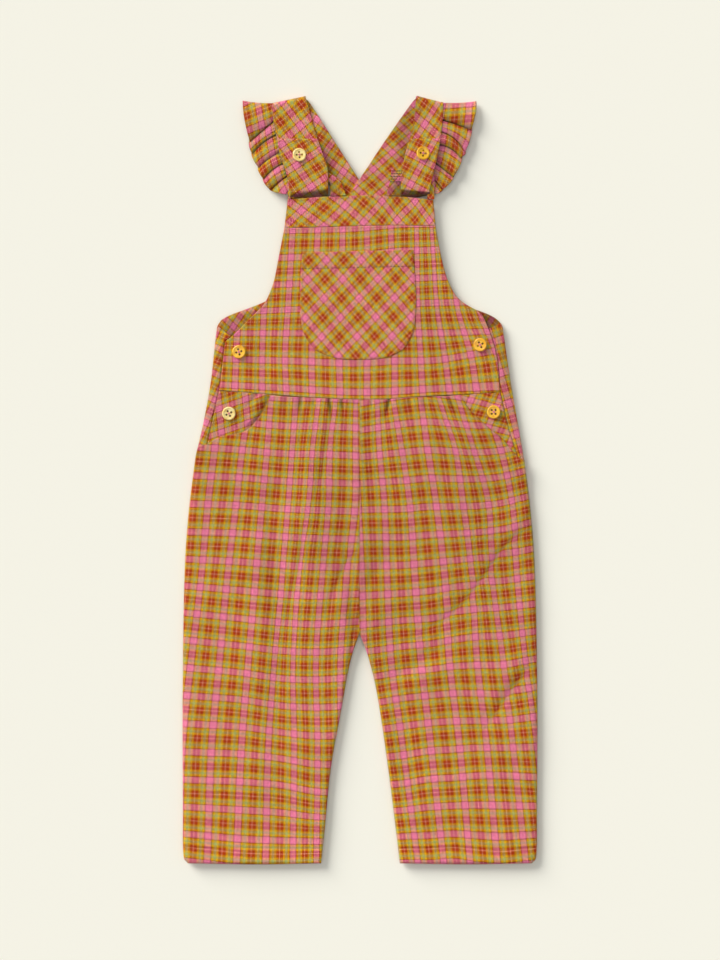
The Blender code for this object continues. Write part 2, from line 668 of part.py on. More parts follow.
# --------------------------------------------------------------------- main
def main():
    clear_scene()
    garment = new_collection("bib_dungarees")
    cutters = new_collection("cutters")
    plain = make_material("checked_twill", CLOTH_COLOUR, 0.9)
    bias = make_material("checked_twill_bias", BIAS_COLOUR, 0.9)
    inside = make_material("checked_twill_back", BACK_COLOUR, 0.9)
    button_materials = {}
    for colour, value in BUTTON_COLOURS.items():
        button_materials[colour] = make_material("button_" + colour, value, 0.3)

    build_back(inside, garment)
    build_placket("placket_left", SIDE_LEFT, (-112.5, -119.0, -132.0), inside, garment)
    build_placket("placket_right", SIDE_RIGHT, (113.0, 118.5, 133.0), inside, garment)
    build_hip_panel("hip_panel_left", FRONT_EDGE_LEFT, OPENING_LEFT, -1.0, bias, garment)
    build_hip_panel("hip_panel_right", FRONT_EDGE_RIGHT, OPENING_RIGHT, 1.0, bias, garment)
    build_front_legs(plain, garment)
    build_front_bodice(plain, bias, garment)
    build_tab("strap_tab_left", LEFT_TAB, -1.0, bias, garment)
    build_tab("strap_tab_right", RIGHT_TAB, 1.0, bias, garment)
    for name, back_run, front_run, side in (
        ("strap_left", LEFT_BACK_RUN, LEFT_FRONT_RUN, -1.0),
        ("strap_right", RIGHT_BACK_RUN, RIGHT_FRONT_RUN, 1.0),
    ):
        stations = strap_stations(back_run, front_run, side)
        rise = crossing_rise if side > 0.0 else stays_down
        build_ribbon(name, stations, 10.0, rise, 4, STRAP_CLOTH, bias, garment)
    for name, frill, side in (("ruffle_left", LEFT_FRILL, -1.0), ("ruffle_right", RIGHT_FRILL, 1.0)):
        build_ribbon(name, frill_stations(frill, side), 20.0, stays_down, 4, CLOTH, plain, garment)
    for button in BUTTONS:
        build_button(button, button_materials[button.colour], garment, cutters)


main()
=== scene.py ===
"""Toddler's bib dungarees in brushed checked twill, laid flat and face up.

Sizes in the tables are millimetres, as cut and laid: +X is right, +Y is the
top of the garment and z = 0 is the surface that it lies on. Meshes are made
in metres.
"""

import math
from collections import namedtuple
from functools import partial, reduce

import bmesh
import bpy
import numpy as np
from mathutils import Euler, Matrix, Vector


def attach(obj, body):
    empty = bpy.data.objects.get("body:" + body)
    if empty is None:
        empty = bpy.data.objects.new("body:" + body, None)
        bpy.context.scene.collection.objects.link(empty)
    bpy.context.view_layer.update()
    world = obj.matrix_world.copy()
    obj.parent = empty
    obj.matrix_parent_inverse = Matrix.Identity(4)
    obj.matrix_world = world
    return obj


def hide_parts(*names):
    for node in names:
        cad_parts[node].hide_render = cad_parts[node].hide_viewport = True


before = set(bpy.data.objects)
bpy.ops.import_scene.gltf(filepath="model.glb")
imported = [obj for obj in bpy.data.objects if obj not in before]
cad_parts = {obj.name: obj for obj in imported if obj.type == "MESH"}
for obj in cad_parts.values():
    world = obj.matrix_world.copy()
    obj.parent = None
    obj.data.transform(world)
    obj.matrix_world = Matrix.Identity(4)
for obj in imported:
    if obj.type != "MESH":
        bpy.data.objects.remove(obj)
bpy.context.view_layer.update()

MM = 0.001

# ------------------------------------------------------------ sizes of cloth
CLOTH = 1.0              # a single sheet
STRAP_CLOTH = 1.5        # a strap is a folded band
WAIST_Y = 76.0
HEM_Y = -352.0
HEM_TURN = 14.0          # depth of the turned-up hem
MOUTH_TURN = 14.5        # depth of the hem at the pocket's mouth
REPEAT = 25.4            # one repeat of the check
THREADS = 56.0           # threads in a repeat
BUTTON_DIAMETER = 12.4
BUTTON_THICKNESS = 2.4

# ----------------------------------------------- outlines, as in the CAD, mm
# Side edges run from top to bottom and cross edges from left to right. A
# point that is written twice is a corner; the rest is one smooth curve.
SIDE_LEFT = (
    (-132.5, 134.0), (-137.0, 93.0), (-143.5, 56.0), (-152.0, 16.0),
    (-158.2, -35.0), (-161.6, -92.0), (-163.2, -200.0), (-163.0, -300.0),
    (-162.6, -343.0), (-158.5, HEM_Y),
)
SIDE_RIGHT = (
    (132.0, 136.0), (136.4, 105.0), (142.5, 68.0), (151.5, 16.0),
    (157.0, -28.0), (161.0, -85.0), (163.2, -200.0), (162.8, -300.0),
    (162.4, -343.0), (158.5, HEM_Y),
)
ARMHOLE_LEFT = ((-54.0, 181.5), (-90.0, 163.5), (-121.0, 151.5), (-130.0, 144.5))
ARMHOLE_RIGHT = ((54.0, 181.5), (92.0, 163.0), (120.0, 152.0), (130.0, 144.0))
CENTRE_TOP = (0.0, 74.7)
CROTCH = (-0.5, -140.0)
INSEAM_LEFT = (
    CENTRE_TOP, (-0.3, -60.0), CROTCH, CROTCH, (-9.2, -168.0), (-17.7, -214.0),
    (-26.8, -265.0), (-32.2, -319.0), (-35.6, HEM_Y),
)
INSEAM_RIGHT = (
    CENTRE_TOP, (-0.3, -60.0), CROTCH, CROTCH, (8.6, -166.0), (16.6, -202.0),
    (25.8, -265.0), (32.6, -319.0), (36.6, HEM_Y),
)
BAND_SEAM = ((-69.6, 232.0), (-24.0, 233.4), (28.0, 234.6), (69.6, 234.2))
BIB_TOP = ((-66.4, 258.8), (-27.6, 261.3), (8.0, 262.0), (37.0, 261.2), (67.4, 258.0))
BIB_SIDE_LEFT = (
    (-69.6, 232.0), (-74.7, 206.0), (-79.6, 182.0), (-88.0, 162.8), (-99.4, 150.9),
    (-110.4, 139.8), (-118.3, 132.0), (-118.3, 132.0), (-123.6, 127.6), (-125.0, 119.0),
    (-127.0, 101.7), (-129.6, 82.6),
)
BIB_SIDE_RIGHT = (
    (69.6, 234.2), (73.0, 214.0), (78.8, 190.0), (86.6, 172.4), (95.3, 163.4), (108.0, 156.0),
    (113.4, 150.4), (118.0, 140.8), (118.0, 140.8), (122.4, 128.0), (126.6, 110.0), (128.8, 81.4),
)
WAIST_FRONT = (
    (-129.6, 82.6), (-111.0, 81.4), (-81.5, 78.8), (-47.8, 76.3), (-7.5, 74.7),
    (22.4, 74.7), (52.3, 76.8), (92.0, 78.8), (128.8, 81.4),
)
FRONT_EDGE_LEFT = ((-129.6, 82.0), (-134.5, 60.0), (-140.0, 34.0))
FRONT_EDGE_RIGHT = ((128.8, 81.0), (136.0, 50.0), (144.4, 22.5))
OPENING_LEFT = (
    (-140.0, 34.0), (-128.8, 40.0), (-113.0, 43.2), (-101.2, 48.3), (-90.2, 62.0), (-82.0, 77.8),
)
OPENING_RIGHT = (
    (92.6, 77.8), (99.4, 66.7), (108.6, 57.5), (118.7, 48.3), (131.0, 38.0), (144.4, 22.5),
)
POCKET_LEFT = ((-53.2, 209.6), (-54.8, 182.0), (-54.6, 152.0), (-51.0, 134.0), (-41.6, 120.0))
POCKET_RIGHT = ((48.6, 212.0), (51.2, 182.0), (51.4, 155.0), (48.4, 135.0), (39.4, 120.0))
POCKET_TOP = ((-53.2, 209.6), (48.6, 212.0))
POCKET_BOTTOM = ((-41.6, 120.0), (-23.9, 112.9), (-1.1, 111.0), (24.0, 112.9), (39.4, 120.0))
SEAM_GAP = 0.08          # sewn edges all but touch

# A strap's run behind: the height up the garment, the edge that faces the
# middle of the V and the width. Its run in front: the outer edge, which
# carries the frill, and the inner edge.
BackRun = namedtuple("BackRun", "y inner wide")
LEFT_BACK_RUN = (
    BackRun(172.0, 54.0, 30.2), BackRun(190.0, 47.5, 30.2), BackRun(222.0, 32.5, 30.2),
    BackRun(253.0, 14.0, 30.2), BackRun(283.0, -5.0, 30.2), BackRun(315.0, -25.4, 30.2),
    BackRun(346.0, -45.2, 30.2),
)
RIGHT_BACK_RUN = (
    BackRun(172.0, -54.0, 30.2), BackRun(190.0, -47.5, 30.2), BackRun(222.0, -33.5, 32.0),
    BackRun(253.0, -16.0, 38.0), BackRun(283.0, 3.4, 34.0), BackRun(315.0, 24.6, 30.2),
    BackRun(346.0, 46.4, 29.0),
)
FrontRun = namedtuple("FrontRun", "outer_x outer_y inner_x inner_y")
LEFT_FRONT_RUN = (
    FrontRun(-80.6, 344.6, -49.6, 351.2), FrontRun(-79.4, 330.0, -44.4, 333.5),
    FrontRun(-76.2, 314.0, -39.0, 314.0), FrontRun(-73.2, 298.0, -33.6, 298.5),
    FrontRun(-67.8, 283.0, -29.6, 286.0),
)
RIGHT_FRONT_RUN = (
    FrontRun(76.6, 345.0, 51.4, 351.6), FrontRun(76.0, 331.0, 50.0, 333.0),
    FrontRun(74.0, 314.0, 45.4, 314.0), FrontRun(71.2, 298.0, 41.2, 298.5),
    FrontRun(68.2, 285.0, 39.2, 286.0),
)

# Where a strap turns round its tab's bar and comes back up in front: the low
# edge of the turn, under the band, and its high edge.
StrapTurn = namedtuple("StrapTurn", "outer_x outer_low outer_high inner_x inner_low inner_high")
LEFT_STRAP_TURN = StrapTurn(-64.2, 259.6, 264.6, -29.2, 261.0, 269.8)
RIGHT_STRAP_TURN = StrapTurn(64.0, 264.8, 266.2, 37.4, 260.4, 269.0)

# A tab's outline, from its outer foot over its top to its inner foot and
# round its window. A foot stands on the band's edge.
ON_BAND = None
LEFT_TAB = (
    (-66.4, ON_BAND), (-66.4, 281.0), (-64.0, 284.0), (-31.0, 284.0), (-25.5, 281.6), (-20.0, 277.0),
    (-16.2, 271.6), (-14.0, 265.6), (-13.0, ON_BAND), (-27.4, ON_BAND), (-27.8, 274.0),
    (-60.6, 274.0), (-60.4, ON_BAND),
)
RIGHT_TAB = (
    (68.4, ON_BAND), (68.4, 281.0), (66.6, 284.0), (42.0, 292.6), (32.0, 292.0), (29.4, 289.4),
    (28.2, 277.0), (24.0, ON_BAND), (37.6, ON_BAND), (39.0, 274.0), (62.2, 274.0), (61.8, ON_BAND),
)

# A frill's folds from the shoulder down: the foot of each fold at the seam
# and at the loose edge, and how far it bows up between them.
FrillFoot = namedtuple("FrillFoot", "seam_x seam_y loose_x loose_y bow")
LEFT_FRILL = (
    FrillFoot(-80.0, 346.8, -107.2, 349.2, -0.8), FrillFoot(-78.6, 330.8, -101.2, 313.0, 0.3),
    FrillFoot(-76.4, 318.0, -99.2, 302.0, 1.9), FrillFoot(-73.4, 301.6, -93.2, 288.8, 1.6),
    FrillFoot(-70.6, 291.6, -88.8, 278.4, 1.6), FrillFoot(-67.0, 279.6, -82.6, 268.2, 0.8),
    FrillFoot(-64.6, 270.0, -68.0, 263.8, 0.0),
)
RIGHT_FRILL = (
    FrillFoot(76.0, 347.2, 106.4, 348.8, -0.8), FrillFoot(75.6, 331.4, 102.4, 324.6, 0.4),
    FrillFoot(74.4, 320.4, 96.4, 303.0, 3.2), FrillFoot(73.0, 309.0, 93.4, 298.2, 2.4),
    FrillFoot(69.4, 291.4, 86.0, 280.4, 0.5), FrillFoot(66.8, 278.0, 76.0, 268.4, 0.2),
    FrillFoot(64.6, 270.6, 67.2, 263.8, 0.0),
)

# Heights of the middle of a strap, tab or frill, and how far the right strap
# climbs over the left one where they cross.
STRAP_BACK_MID = 1.9
STRAP_CROSS_RISE = 1.9
STRAP_FRONT_MID = 6.0
STRAP_TAB_MID = 5.3
STRAP_RETURN_MID = 9.1
TAB_MID = 7.3
TAB_CLOTH = 1.2          # a tab is folded double
TAB_ROUND = 0.25         # its edges are rounded off
STRAP_CROSSING = (0.0, 253.0)
STRAP_CROSSING_REACH = (15.5, 24.5)
FRILL_CLOTH = 0.9
FRILL_SEAM_MID = 5.8
FrillRise = namedtuple("FrillRise", "low high")
LEFT_FRILL_RISE = FrillRise(3.2, 7.8)
RIGHT_FRILL_RISE = FrillRise(2.4, 7.4)

# How far the garment's own edges stand off the surface, and over what width.
EDGE_LIFT = 3.2
EDGE_REACH = 26.0

# Heights of the tops of the sheets, what the seams and hems add to them, and
# the stretches over which they change.
BIB_CLIMB = (128.0, 176.0)
WAIST_REACH = (4.0, 40.0)
LEGS_PART = (132.0, 176.0)
PLACKET_TOP = 1.7
FRONT_TOP = 6.6
BIB_RISE = 0.6
SIDE_RISE = 0.5
POCKET_RISE = 0.35
LEG_TOP = 7.4
LEG_CROWN = 1.2
LEG_SIDE_TOP = 5.4
CENTRE_SEAM_TOP = 7.9
INSEAM_TOP = 5.6
HEM_TOP = 5.8
GATHER = 0.20
SEAM_DIP = 0.30
HEM_ROW_DIP = 0.55
HEM_PUCKER = 0.18
WEAR_START = 0.2         # a rubbed edge is worn through to here,
WEAR_REACH = 1.8         # and fades out by here
CREASE_SHADE = 0.12      # how much painted shade darkens a crease, for each mm of depth
TUCK_SHADE = 0.2         # the same for a tuck
TUCK_WIDE = 1.8          # a trough that is narrower is a tuck

Button = namedtuple("Button", "node x y z turn finish lean")
# Each button takes the golden resin's colours or a paler copy of them.
BUTTONS = (
    Button("button_strap_left", -55.7, 299.0, 9.9, 50.0, "pale", (9.0, 3.0)),
    Button("button_strap_right", 57.9, 300.4, 9.9, 40.0, "yellow", (14.0, 4.0)),
    Button("button_side_left", -111.3, 118.2, 7.25, -30.0, "yellow", (-3.0, 2.0)),
    Button("button_side_right", 110.4, 124.7, 7.25, -18.0, "yellow", (-8.0, 3.0)),
    Button("button_hip_left", -120.5, 61.6, 7.25, -18.0, "pale", (5.0, 3.0)),
    Button("button_hip_right", 122.8, 63.0, 7.25, 0.0, "yellow", (0.0, 0.0)),
)

# ---------------------------------------------------- how the check lies, mm
# The check's pink bands as laid. Each column is the x of one pink band at
# the listed heights; each row is the y of one pink band at the listed places,
# with its number counted from the top.
Grain = namedtuple("Grain", "heights columns places numbers rows")
LEFT_LEG_GRAIN = Grain(
    heights=(59.0, 33.0, -15.0, -90.0, -165.0, -239.0, -338.0),
    columns=(
        (-130.0, -133.0, -139.0, -146.0, -155.0, -163.0, -166.0),
        (-103.0, -107.5, -113.0, -122.0, -129.0, -136.0, -140.0),
        (-83.0, -85.0, -89.5, -96.0, -102.5, -108.5, -113.0),
        (-60.0, -62.0, -65.5, -72.0, -78.5, -84.0, -86.5),
        (-40.0, -43.5, -47.0, -55.5, -61.5, -60.5, -61.5),
        (-24.0, -26.5, -28.5, -35.0, -40.5, -39.0, -40.0),
        (-4.0, -4.0, -4.0, -12.0, -18.0, -17.5, -18.0),
    ),
    places=(-146.0, -112.0, -66.0, -43.0, -2.0),
    numbers=(0, 4, 7, 10, 13, 15),
    rows=(
        (56.5, 54.0, 50.0, 50.0, 48.5),
        (-47.5, -48.5, -52.0, -53.0, -54.0),
        (-123.0, -126.5, -131.0, -132.0, -129.5),
        (-198.5, -201.0, -207.5, -208.5, -206.5),
        (-275.5, -276.5, -281.0, -285.5, -286.5),
        (-326.0, -329.0, -331.0, -331.5, -332.5),
    ),
)
RIGHT_LEG_GRAIN = Grain(
    heights=(59.0, 33.0, -15.0, -90.0, -165.0, -239.0, -338.0),
    columns=(
        (-5.0, -4.0, -2.0, 2.0, 5.0, 16.5, 30.0),
        (16.5, 17.5, 22.0, 25.0, 28.5, 38.5, 51.5),
        (33.0, 37.5, 45.0, 50.5, 56.0, 64.5, 75.5),
        (58.0, 61.5, 69.0, 78.0, 82.0, 91.0, 100.0),
        (78.0, 86.5, 94.0, 103.0, 107.5, 116.0, 125.0),
        (95.0, 103.0, 117.0, 121.5, 131.5, 140.0, 151.0),
        (118.5, 128.0, 139.0, 144.5, 152.0, 162.0, 173.0),
    ),
    places=(16.5, 39.5, 62.5, 85.5, 108.5, 131.5, 150.0),
    numbers=(1, 4, 7, 10, 13, 15),
    rows=(
        (23.5, 26.0, 28.0, 27.0, 26.0, 28.0, 32.5),
        (-52.0, -52.0, -50.0, -49.0, -47.5, -44.5, -40.0),
        (-131.0, -128.5, -126.5, -122.0, -118.0, -116.5, -114.5),
        (-204.0, -200.0, -197.5, -195.5, -195.5, -195.5, -192.0),
        (-280.0, -278.5, -274.5, -273.0, -271.0, -271.0, -272.0),
        (-329.0, -327.0, -326.0, -324.5, -326.0, -327.0, -326.0),
    ),
)
BIB_GRAIN = Grain(
    heights=(205.0, 162.0, 110.0, 84.0),
    columns=(
        (-110.0, -112.0, -114.0, -115.0), (-86.0, -88.0, -90.0, -90.0),
        (-63.5, -66.0, -69.0, -68.0), (-40.0, -42.0, -44.5, -44.0),
        (-16.5, -17.5, -19.0, -18.5), (6.5, 6.5, 6.5, 6.5), (29.0, 30.0, 32.0, 32.0),
        (52.5, 53.0, 56.0, 57.5), (67.5, 70.5, 78.5, 82.0), (85.0, 89.0, 103.0, 107.0),
    ),
    places=(-66.0, 0.0, 35.0, 67.5, 106.0),
    numbers=(0, 1, 2, 3, 4, 5, 6),
    rows=(
        (230.0, 232.0, 235.0, 236.0, 238.0), (205.0, 207.0, 211.0, 212.0, 214.0),
        (180.5, 183.0, 185.0, 186.5, 188.0), (157.0, 160.0, 162.0, 163.5, 164.0),
        (135.5, 135.5, 135.5, 135.5, 136.5), (110.0, 108.0, 110.0, 110.5, 116.5),
        (85.0, 81.5, 82.5, 84.5, 86.0),
    ),
)

# How the check lies on a piece that is cut across the grain: one pink
# crossing, the turn of one yarn from +X in degrees, the repeat along each yarn
# and how far the second yarn leans from square.
Lay = namedtuple("Lay", "x y turn first second lean")
POCKET_LAY = Lay(14.4, 150.2, 41.0, 24.7, 23.0, 5.0)
TAB_LAYS = (Lay(-14.9, 253.0, 50.8, 29.0, 24.3, -5.3), Lay(49.6, 258.4, 38.8, 24.4, 21.8, 10.5))
HIP_LEFT_LAY = Lay(-105.2, 74.7, 5.3, 25.0, 21.1, 14.2)
HIP_RIGHT_LAY = Lay(125.7, 67.7, 75.5, 20.0, 24.3, -8.3)
PLACKET_LEFT_LAY = Lay(-114.7, 114.8, 66.0, 22.4, 25.0, 0.0)
PLACKET_RIGHT_LAY = Lay(152.5, 106.5, 15.5, 24.5, 29.0, 2.5)
BACK_LAY = Lay(0.0, 120.0, 0.0, 25.4, 25.4, 0.0)
ARMHOLE_LAY = Lay(-88.0, 145.6, 47.8, 21.9, 21.6, 8.7)

# The band was eased on, so its crossings bunch up to the right: places along
# it with the crossings counted there, and the height of one row of them.
BandMark = namedtuple("BandMark", "x count y")
BAND_MARKS = (
    BandMark(-53.9, 0.0, 248.2), BandMark(-13.8, 2.0, 252.8), BandMark(3.3, 3.0, 255.0),
    BandMark(20.3, 4.0, 256.8), BandMark(34.1, 5.0, 257.0), BandMark(50.6, 6.0, 256.8),
    BandMark(63.8, 7.0, 256.4),
)
BAND_ROW = 17.3
# A strap shows three runs: behind, in front and the returned end.
LEFT_STRAP_LAYS = (
    Lay(-2.1, 302.7, 52.0, 22.6, 23.7, 2.6), Lay(-54.8, 326.2, 37.0, 25.1, 28.5, 3.0),
    Lay(-21.3, 285.1, 34.7, 28.0, 23.8, -1.7),
)
RIGHT_STRAP_LAYS = (
    Lay(29.6, 301.9, 47.5, 23.2, 20.1, -6.0), Lay(75.0, 352.5, 50.0, 29.0, 20.9, 8.0),
    Lay(58.4, 293.8, 62.5, 24.6, 23.2, -1.0),
)
LEFT_FRILL_LAY = Lay(-90.4, 327.1, 10.2, 23.4, 25.0, 12.5)
RIGHT_FRILL_LAY = Lay(98.3, 318.5, -5.0, 25.1, 28.0, 9.5)

# ------------------------------------------------------------ folds, mm
# A fold runs from its first point to its second; height is how far it
# stands above the cloth round it, and a trough's is negative.
Fold = namedtuple("Fold", "x0 y0 x1 y1 width height")
LEFT_LEG_FOLDS = (
    Fold(-28.5, 76.0, -25.6, 56.0, 1.1, -2.6), Fold(-22.5, 76.0, -20.0, 48.0, 3.4, 0.9),
    Fold(-16.6, 76.0, -15.6, 63.0, 1.0, -1.8), Fold(-54.3, 76.0, -55.4, 62.0, 1.0, -1.8),
    Fold(-60.5, 76.0, -62.0, 56.0, 3.0, 0.6), Fold(-34.0, 76.0, -35.0, 50.0, 3.4, 0.7),
    Fold(-70.0, 76.0, -74.0, 62.0, 1.3, -1.0), Fold(-42.0, 76.0, -43.5, 64.0, 1.2, -0.9),
    Fold(-82.8, 75.9, -92.9, 56.9, 1.2, -1.5), Fold(-92.9, 56.9, -103.1, 47.4, 1.3, -1.2),
    Fold(-5.0, 76.0, -5.6, 66.0, 1.2, -0.8),
    Fold(-79.0, -15.0, -76.0, -200.0, 7.0, -1.4), Fold(-76.0, -180.0, -78.0, -345.0, 8.0, -1.1),
    Fold(-92.0, -60.0, -92.0, -300.0, 9.0, 0.9), Fold(-46.0, 20.0, -52.0, -160.0, 7.0, 1.1),
    Fold(-8.0, 20.0, -22.0, -100.0, 7.0, -0.9), Fold(-3.0, -95.0, -34.0, -60.0, 5.0, -0.9),
    Fold(-5.0, -125.0, -50.0, -100.0, 6.0, 0.6), Fold(-62.0, -290.0, -48.0, -345.0, 6.0, 0.6),
    Fold(-4.0, -136.0, -4.0, -40.0, 3.0, -1.2), Fold(-29.4, -119.0, -16.8, -85.0, 3.2, -0.8),
    Fold(-6.0, -132.0, -8.0, -86.0, 3.4, -1.1), Fold(-3.0, -124.0, -14.0, -190.0, 1.3, -0.9),
)
RIGHT_LEG_FOLDS = (
    Fold(27.0, 76.0, 23.8, 58.0, 1.1, -2.4), Fold(33.0, 76.0, 32.0, 52.0, 3.2, 0.6),
    Fold(80.6, 76.0, 87.6, 61.0, 1.1, -2.2), Fold(75.0, 76.0, 80.0, 52.0, 3.2, 0.6),
    Fold(45.0, 76.0, 46.0, 64.0, 1.2, -1.0), Fold(58.0, 76.0, 60.0, 62.0, 1.3, -1.1),
    Fold(65.5, 76.0, 69.0, 54.0, 3.2, 0.5), Fold(10.0, 76.0, 10.5, 64.0, 1.2, -0.9),
    Fold(17.0, 76.0, 17.0, 52.0, 3.2, 0.6),
    Fold(152.0, -177.0, 79.0, -261.0, 5.0, -0.4), Fold(150.0, -160.0, 92.0, -236.0, 6.0, 0.8),
    Fold(67.0, -159.0, 12.0, -193.0, 5.0, -1.15), Fold(76.0, -172.0, 30.0, -196.0, 6.0, 0.8),
    Fold(149.0, -45.0, 79.0, -137.0, 5.0, -0.4), Fold(152.0, -30.0, 94.0, -118.0, 6.0, 0.9),
    Fold(5.0, 20.0, 18.0, -100.0, 7.0, -0.9), Fold(3.0, -95.0, 38.0, -62.0, 5.0, -0.9),
    Fold(4.0, -128.0, 44.0, -112.0, 6.0, 0.6), Fold(112.0, 22.0, 128.0, -60.0, 8.0, -0.8),
    Fold(3.0, -134.0, 2.5, -50.0, 3.0, 0.5),
    Fold(40.0, -230.0, 52.0, -340.0, 8.0, -0.6), Fold(120.0, -270.0, 128.0, -345.0, 8.0, 0.5),
)
# A crease runs through its points and takes in some slack, so that the check
# bends along it.
Crease = namedtuple("Crease", "reach depth slack points")
LEFT_LEG_CREASES = (
    Crease(3.0, 0.7, 3.0, ((-27.4, 62.0), (-32.2, 28.0), (-36.8, -1.4), (-45.0, -26.0))),
    Crease(3.2, 0.8, 3.2, ((-53.4, -36.0), (-56.0, -73.0), (-64.4, -110.0), (-69.0, -150.0))),
    Crease(2.6, 0.6, 2.6, ((-3.6, -62.0), (-11.0, -74.0), (-18.4, -87.0), (-27.0, -108.0))),
)
RIGHT_LEG_CREASES = (
    Crease(2.8, 0.85, 4.4, (
        (158.0, -43.0), (134.3, -58.4), (115.9, -84.2), (97.5, -108.0), (70.0, -132.0), (34.0, -148.0))),
    Crease(2.6, 0.75, 3.6, (
        (158.0, -173.0), (145.4, -183.5), (136.2, -196.4), (125.0, -213.0), (110.0, -236.0))),
)
BIB_FOLDS = (
    Fold(66.0, 176.0, 70.0, 120.0, 7.0, -0.6), Fold(78.0, 150.0, 100.0, 112.0, 7.0, -0.6),
    Fold(-92.0, 150.0, -84.0, 100.0, 8.0, -0.5), Fold(-118.0, 104.0, -92.0, 96.0, 6.0, -0.4),
    Fold(-100.0, 92.0, -60.0, 88.0, 5.0, 0.4), Fold(60.0, 90.0, 100.0, 94.0, 5.0, 0.4),
)
HIP_LEFT_FOLDS = (
    Fold(-95.7, 79.0, -104.0, 68.0, 1.6, -1.0), Fold(-90.0, 79.0, -97.0, 64.0, 2.6, 0.6),
    Fold(-84.0, 76.0, -94.4, 56.8, 1.4, -1.0), Fold(-94.4, 56.8, -106.0, 45.0, 1.4, -0.9),
)
PLACKET_FOLDS = (Fold(-132.8, 117.3, -125.4, 105.6, 1.2, -0.9),)
HIP_RIGHT_FOLDS = (
    Fold(100.0, 79.0, 106.0, 66.0, 2.2, -0.8), Fold(130.0, 56.0, 140.0, 36.0, 3.0, -0.6),
)

# Patches of painted light and shade: they lighten the cloth's colour where
# more light falls on it and darken it where less falls, and in places that
# never see much light.
Patch = namedtuple("Patch", "x y reach_x reach_y tone")
FRONT_PATCHES = (
    Patch(125.0, -20.0, 34.0, 80.0, -0.07), Patch(0.0, -95.0, 22.0, 48.0, -0.12),
    Patch(60.0, 20.0, 70.0, 80.0, -0.06), Patch(-20.0, 20.0, 40.0, 80.0, -0.03),
    Patch(-138.0, 20.0, 24.0, 60.0, -0.06), Patch(20.0, -180.0, 16.0, 60.0, -0.05),
    Patch(70.0, -340.0, 80.0, 14.0, 0.08), Patch(-90.0, -342.0, 70.0, 14.0, 0.15),
    Patch(-70.0, -260.0, 40.0, 60.0, 0.03), Patch(-24.0, -200.0, 14.0, 60.0, 0.07),
    Patch(70.0, -70.0, 50.0, 60.0, -0.04), Patch(110.0, -120.0, 40.0, 60.0, -0.03),
)
BODICE_PATCHES = (Patch(88.0, 122.0, 44.0, 46.0, -0.09),)
HIP_PATCHES = (
    Patch(-124.0, 58.0, 24.0, 26.0, -0.11), Patch(124.0, 58.0, 24.0, 26.0, -0.07),
    Patch(-87.5, 66.0, 2.0, 4.0, -0.35), Patch(-90.8, 60.5, 2.0, 3.0, -0.40),
    Patch(-95.0, 55.5, 2.5, 2.6, -0.38), Patch(-100.0, 50.5, 3.0, 2.2, -0.26),
)
ARMHOLE_PATCHES = (Patch(118.0, 149.0, 12.0, 8.0, -0.62), Patch(-118.4, 131.7, 4.0, 5.0, -0.5))
PLACKET_PATCHES = (Patch(128.0, 112.0, 12.0, 40.0, -0.10), Patch(-138.0, 60.0, 14.0, 34.0, -0.12))
LEFT_STRAP_PATCHES = (Patch(-34.0, 322.0, 6.0, 22.0, -0.08), Patch(-28.0, 286.0, 5.0, 20.0, -0.30))
RIGHT_STRAP_PATCHES = (Patch(46.0, 342.0, 7.0, 15.0, -0.26), Patch(40.0, 302.0, 5.0, 24.0, -0.34))
TAB_PATCHES = (
    Patch(-27.5, 266.0, 1.6, 10.0, -0.55), Patch(38.0, 268.0, 1.8, 12.0, -0.55),
    Patch(38.6, 286.0, 3.0, 12.0, -0.45), Patch(25.4, 267.0, 1.6, 8.0, -0.45),
)

# A strap as a whole: its side, where it runs, how far its run behind lifts
# off the surface, and its check. The same for a frill.
Strap = namedtuple("Strap", "side back_run front_run turn rise lays patches")
STRAPS = {
    "strap_left": Strap(
        -1.0, LEFT_BACK_RUN, LEFT_FRONT_RUN, LEFT_STRAP_TURN, 4.0, LEFT_STRAP_LAYS, LEFT_STRAP_PATCHES),
    "strap_right": Strap(
        1.0, RIGHT_BACK_RUN, RIGHT_FRONT_RUN, RIGHT_STRAP_TURN, 1.6, RIGHT_STRAP_LAYS, RIGHT_STRAP_PATCHES),
}
TURN_SHADE = 0.74        # how much painted shade darkens a strap where it turns under the band
Frill = namedtuple("Frill", "side feet rise shift lay")
FRILLS = {
    "ruffle_left": Frill(-1.0, LEFT_FRILL, LEFT_FRILL_RISE, 0.3, LEFT_FRILL_LAY),
    "ruffle_right": Frill(1.0, RIGHT_FRILL, RIGHT_FRILL_RISE, 0.9, RIGHT_FRILL_LAY),
}


# ------------------------------------------------------------ plain geometry
def ramp(value, start, end):
    """Rise smoothly from 0 at start to 1 at end."""
    share = np.clip((value - start) / (end - start), 0.0, 1.0)
    return share * share * (3.0 - 2.0 * share)


def moved(points, dx, dy):
    """The same outline, shifted."""
    return tuple((x + dx, y + dy) for x, y in points)


def smooth_run(run, steps=14):
    """Sample a smooth curve that passes through a run's points."""
    run = np.asarray(run, dtype=float)
    padded = np.vstack([2.0 * run[0] - run[1], run, 2.0 * run[-1] - run[-2]])
    share = (np.arange(steps) / steps)[:, None]
    pieces = []
    for a, b, c, d in zip(padded, padded[1:], padded[2:], padded[3:]):
        linear = (c - a) * share
        square = (2.0 * a - 5.0 * b + 4.0 * c - d) * share ** 2
        cube = (3.0 * b - a - 3.0 * c + d) * share ** 3
        pieces.append(0.5 * (2.0 * b + linear + square + cube))
    pieces.append(run[-1:])
    return np.vstack(pieces)


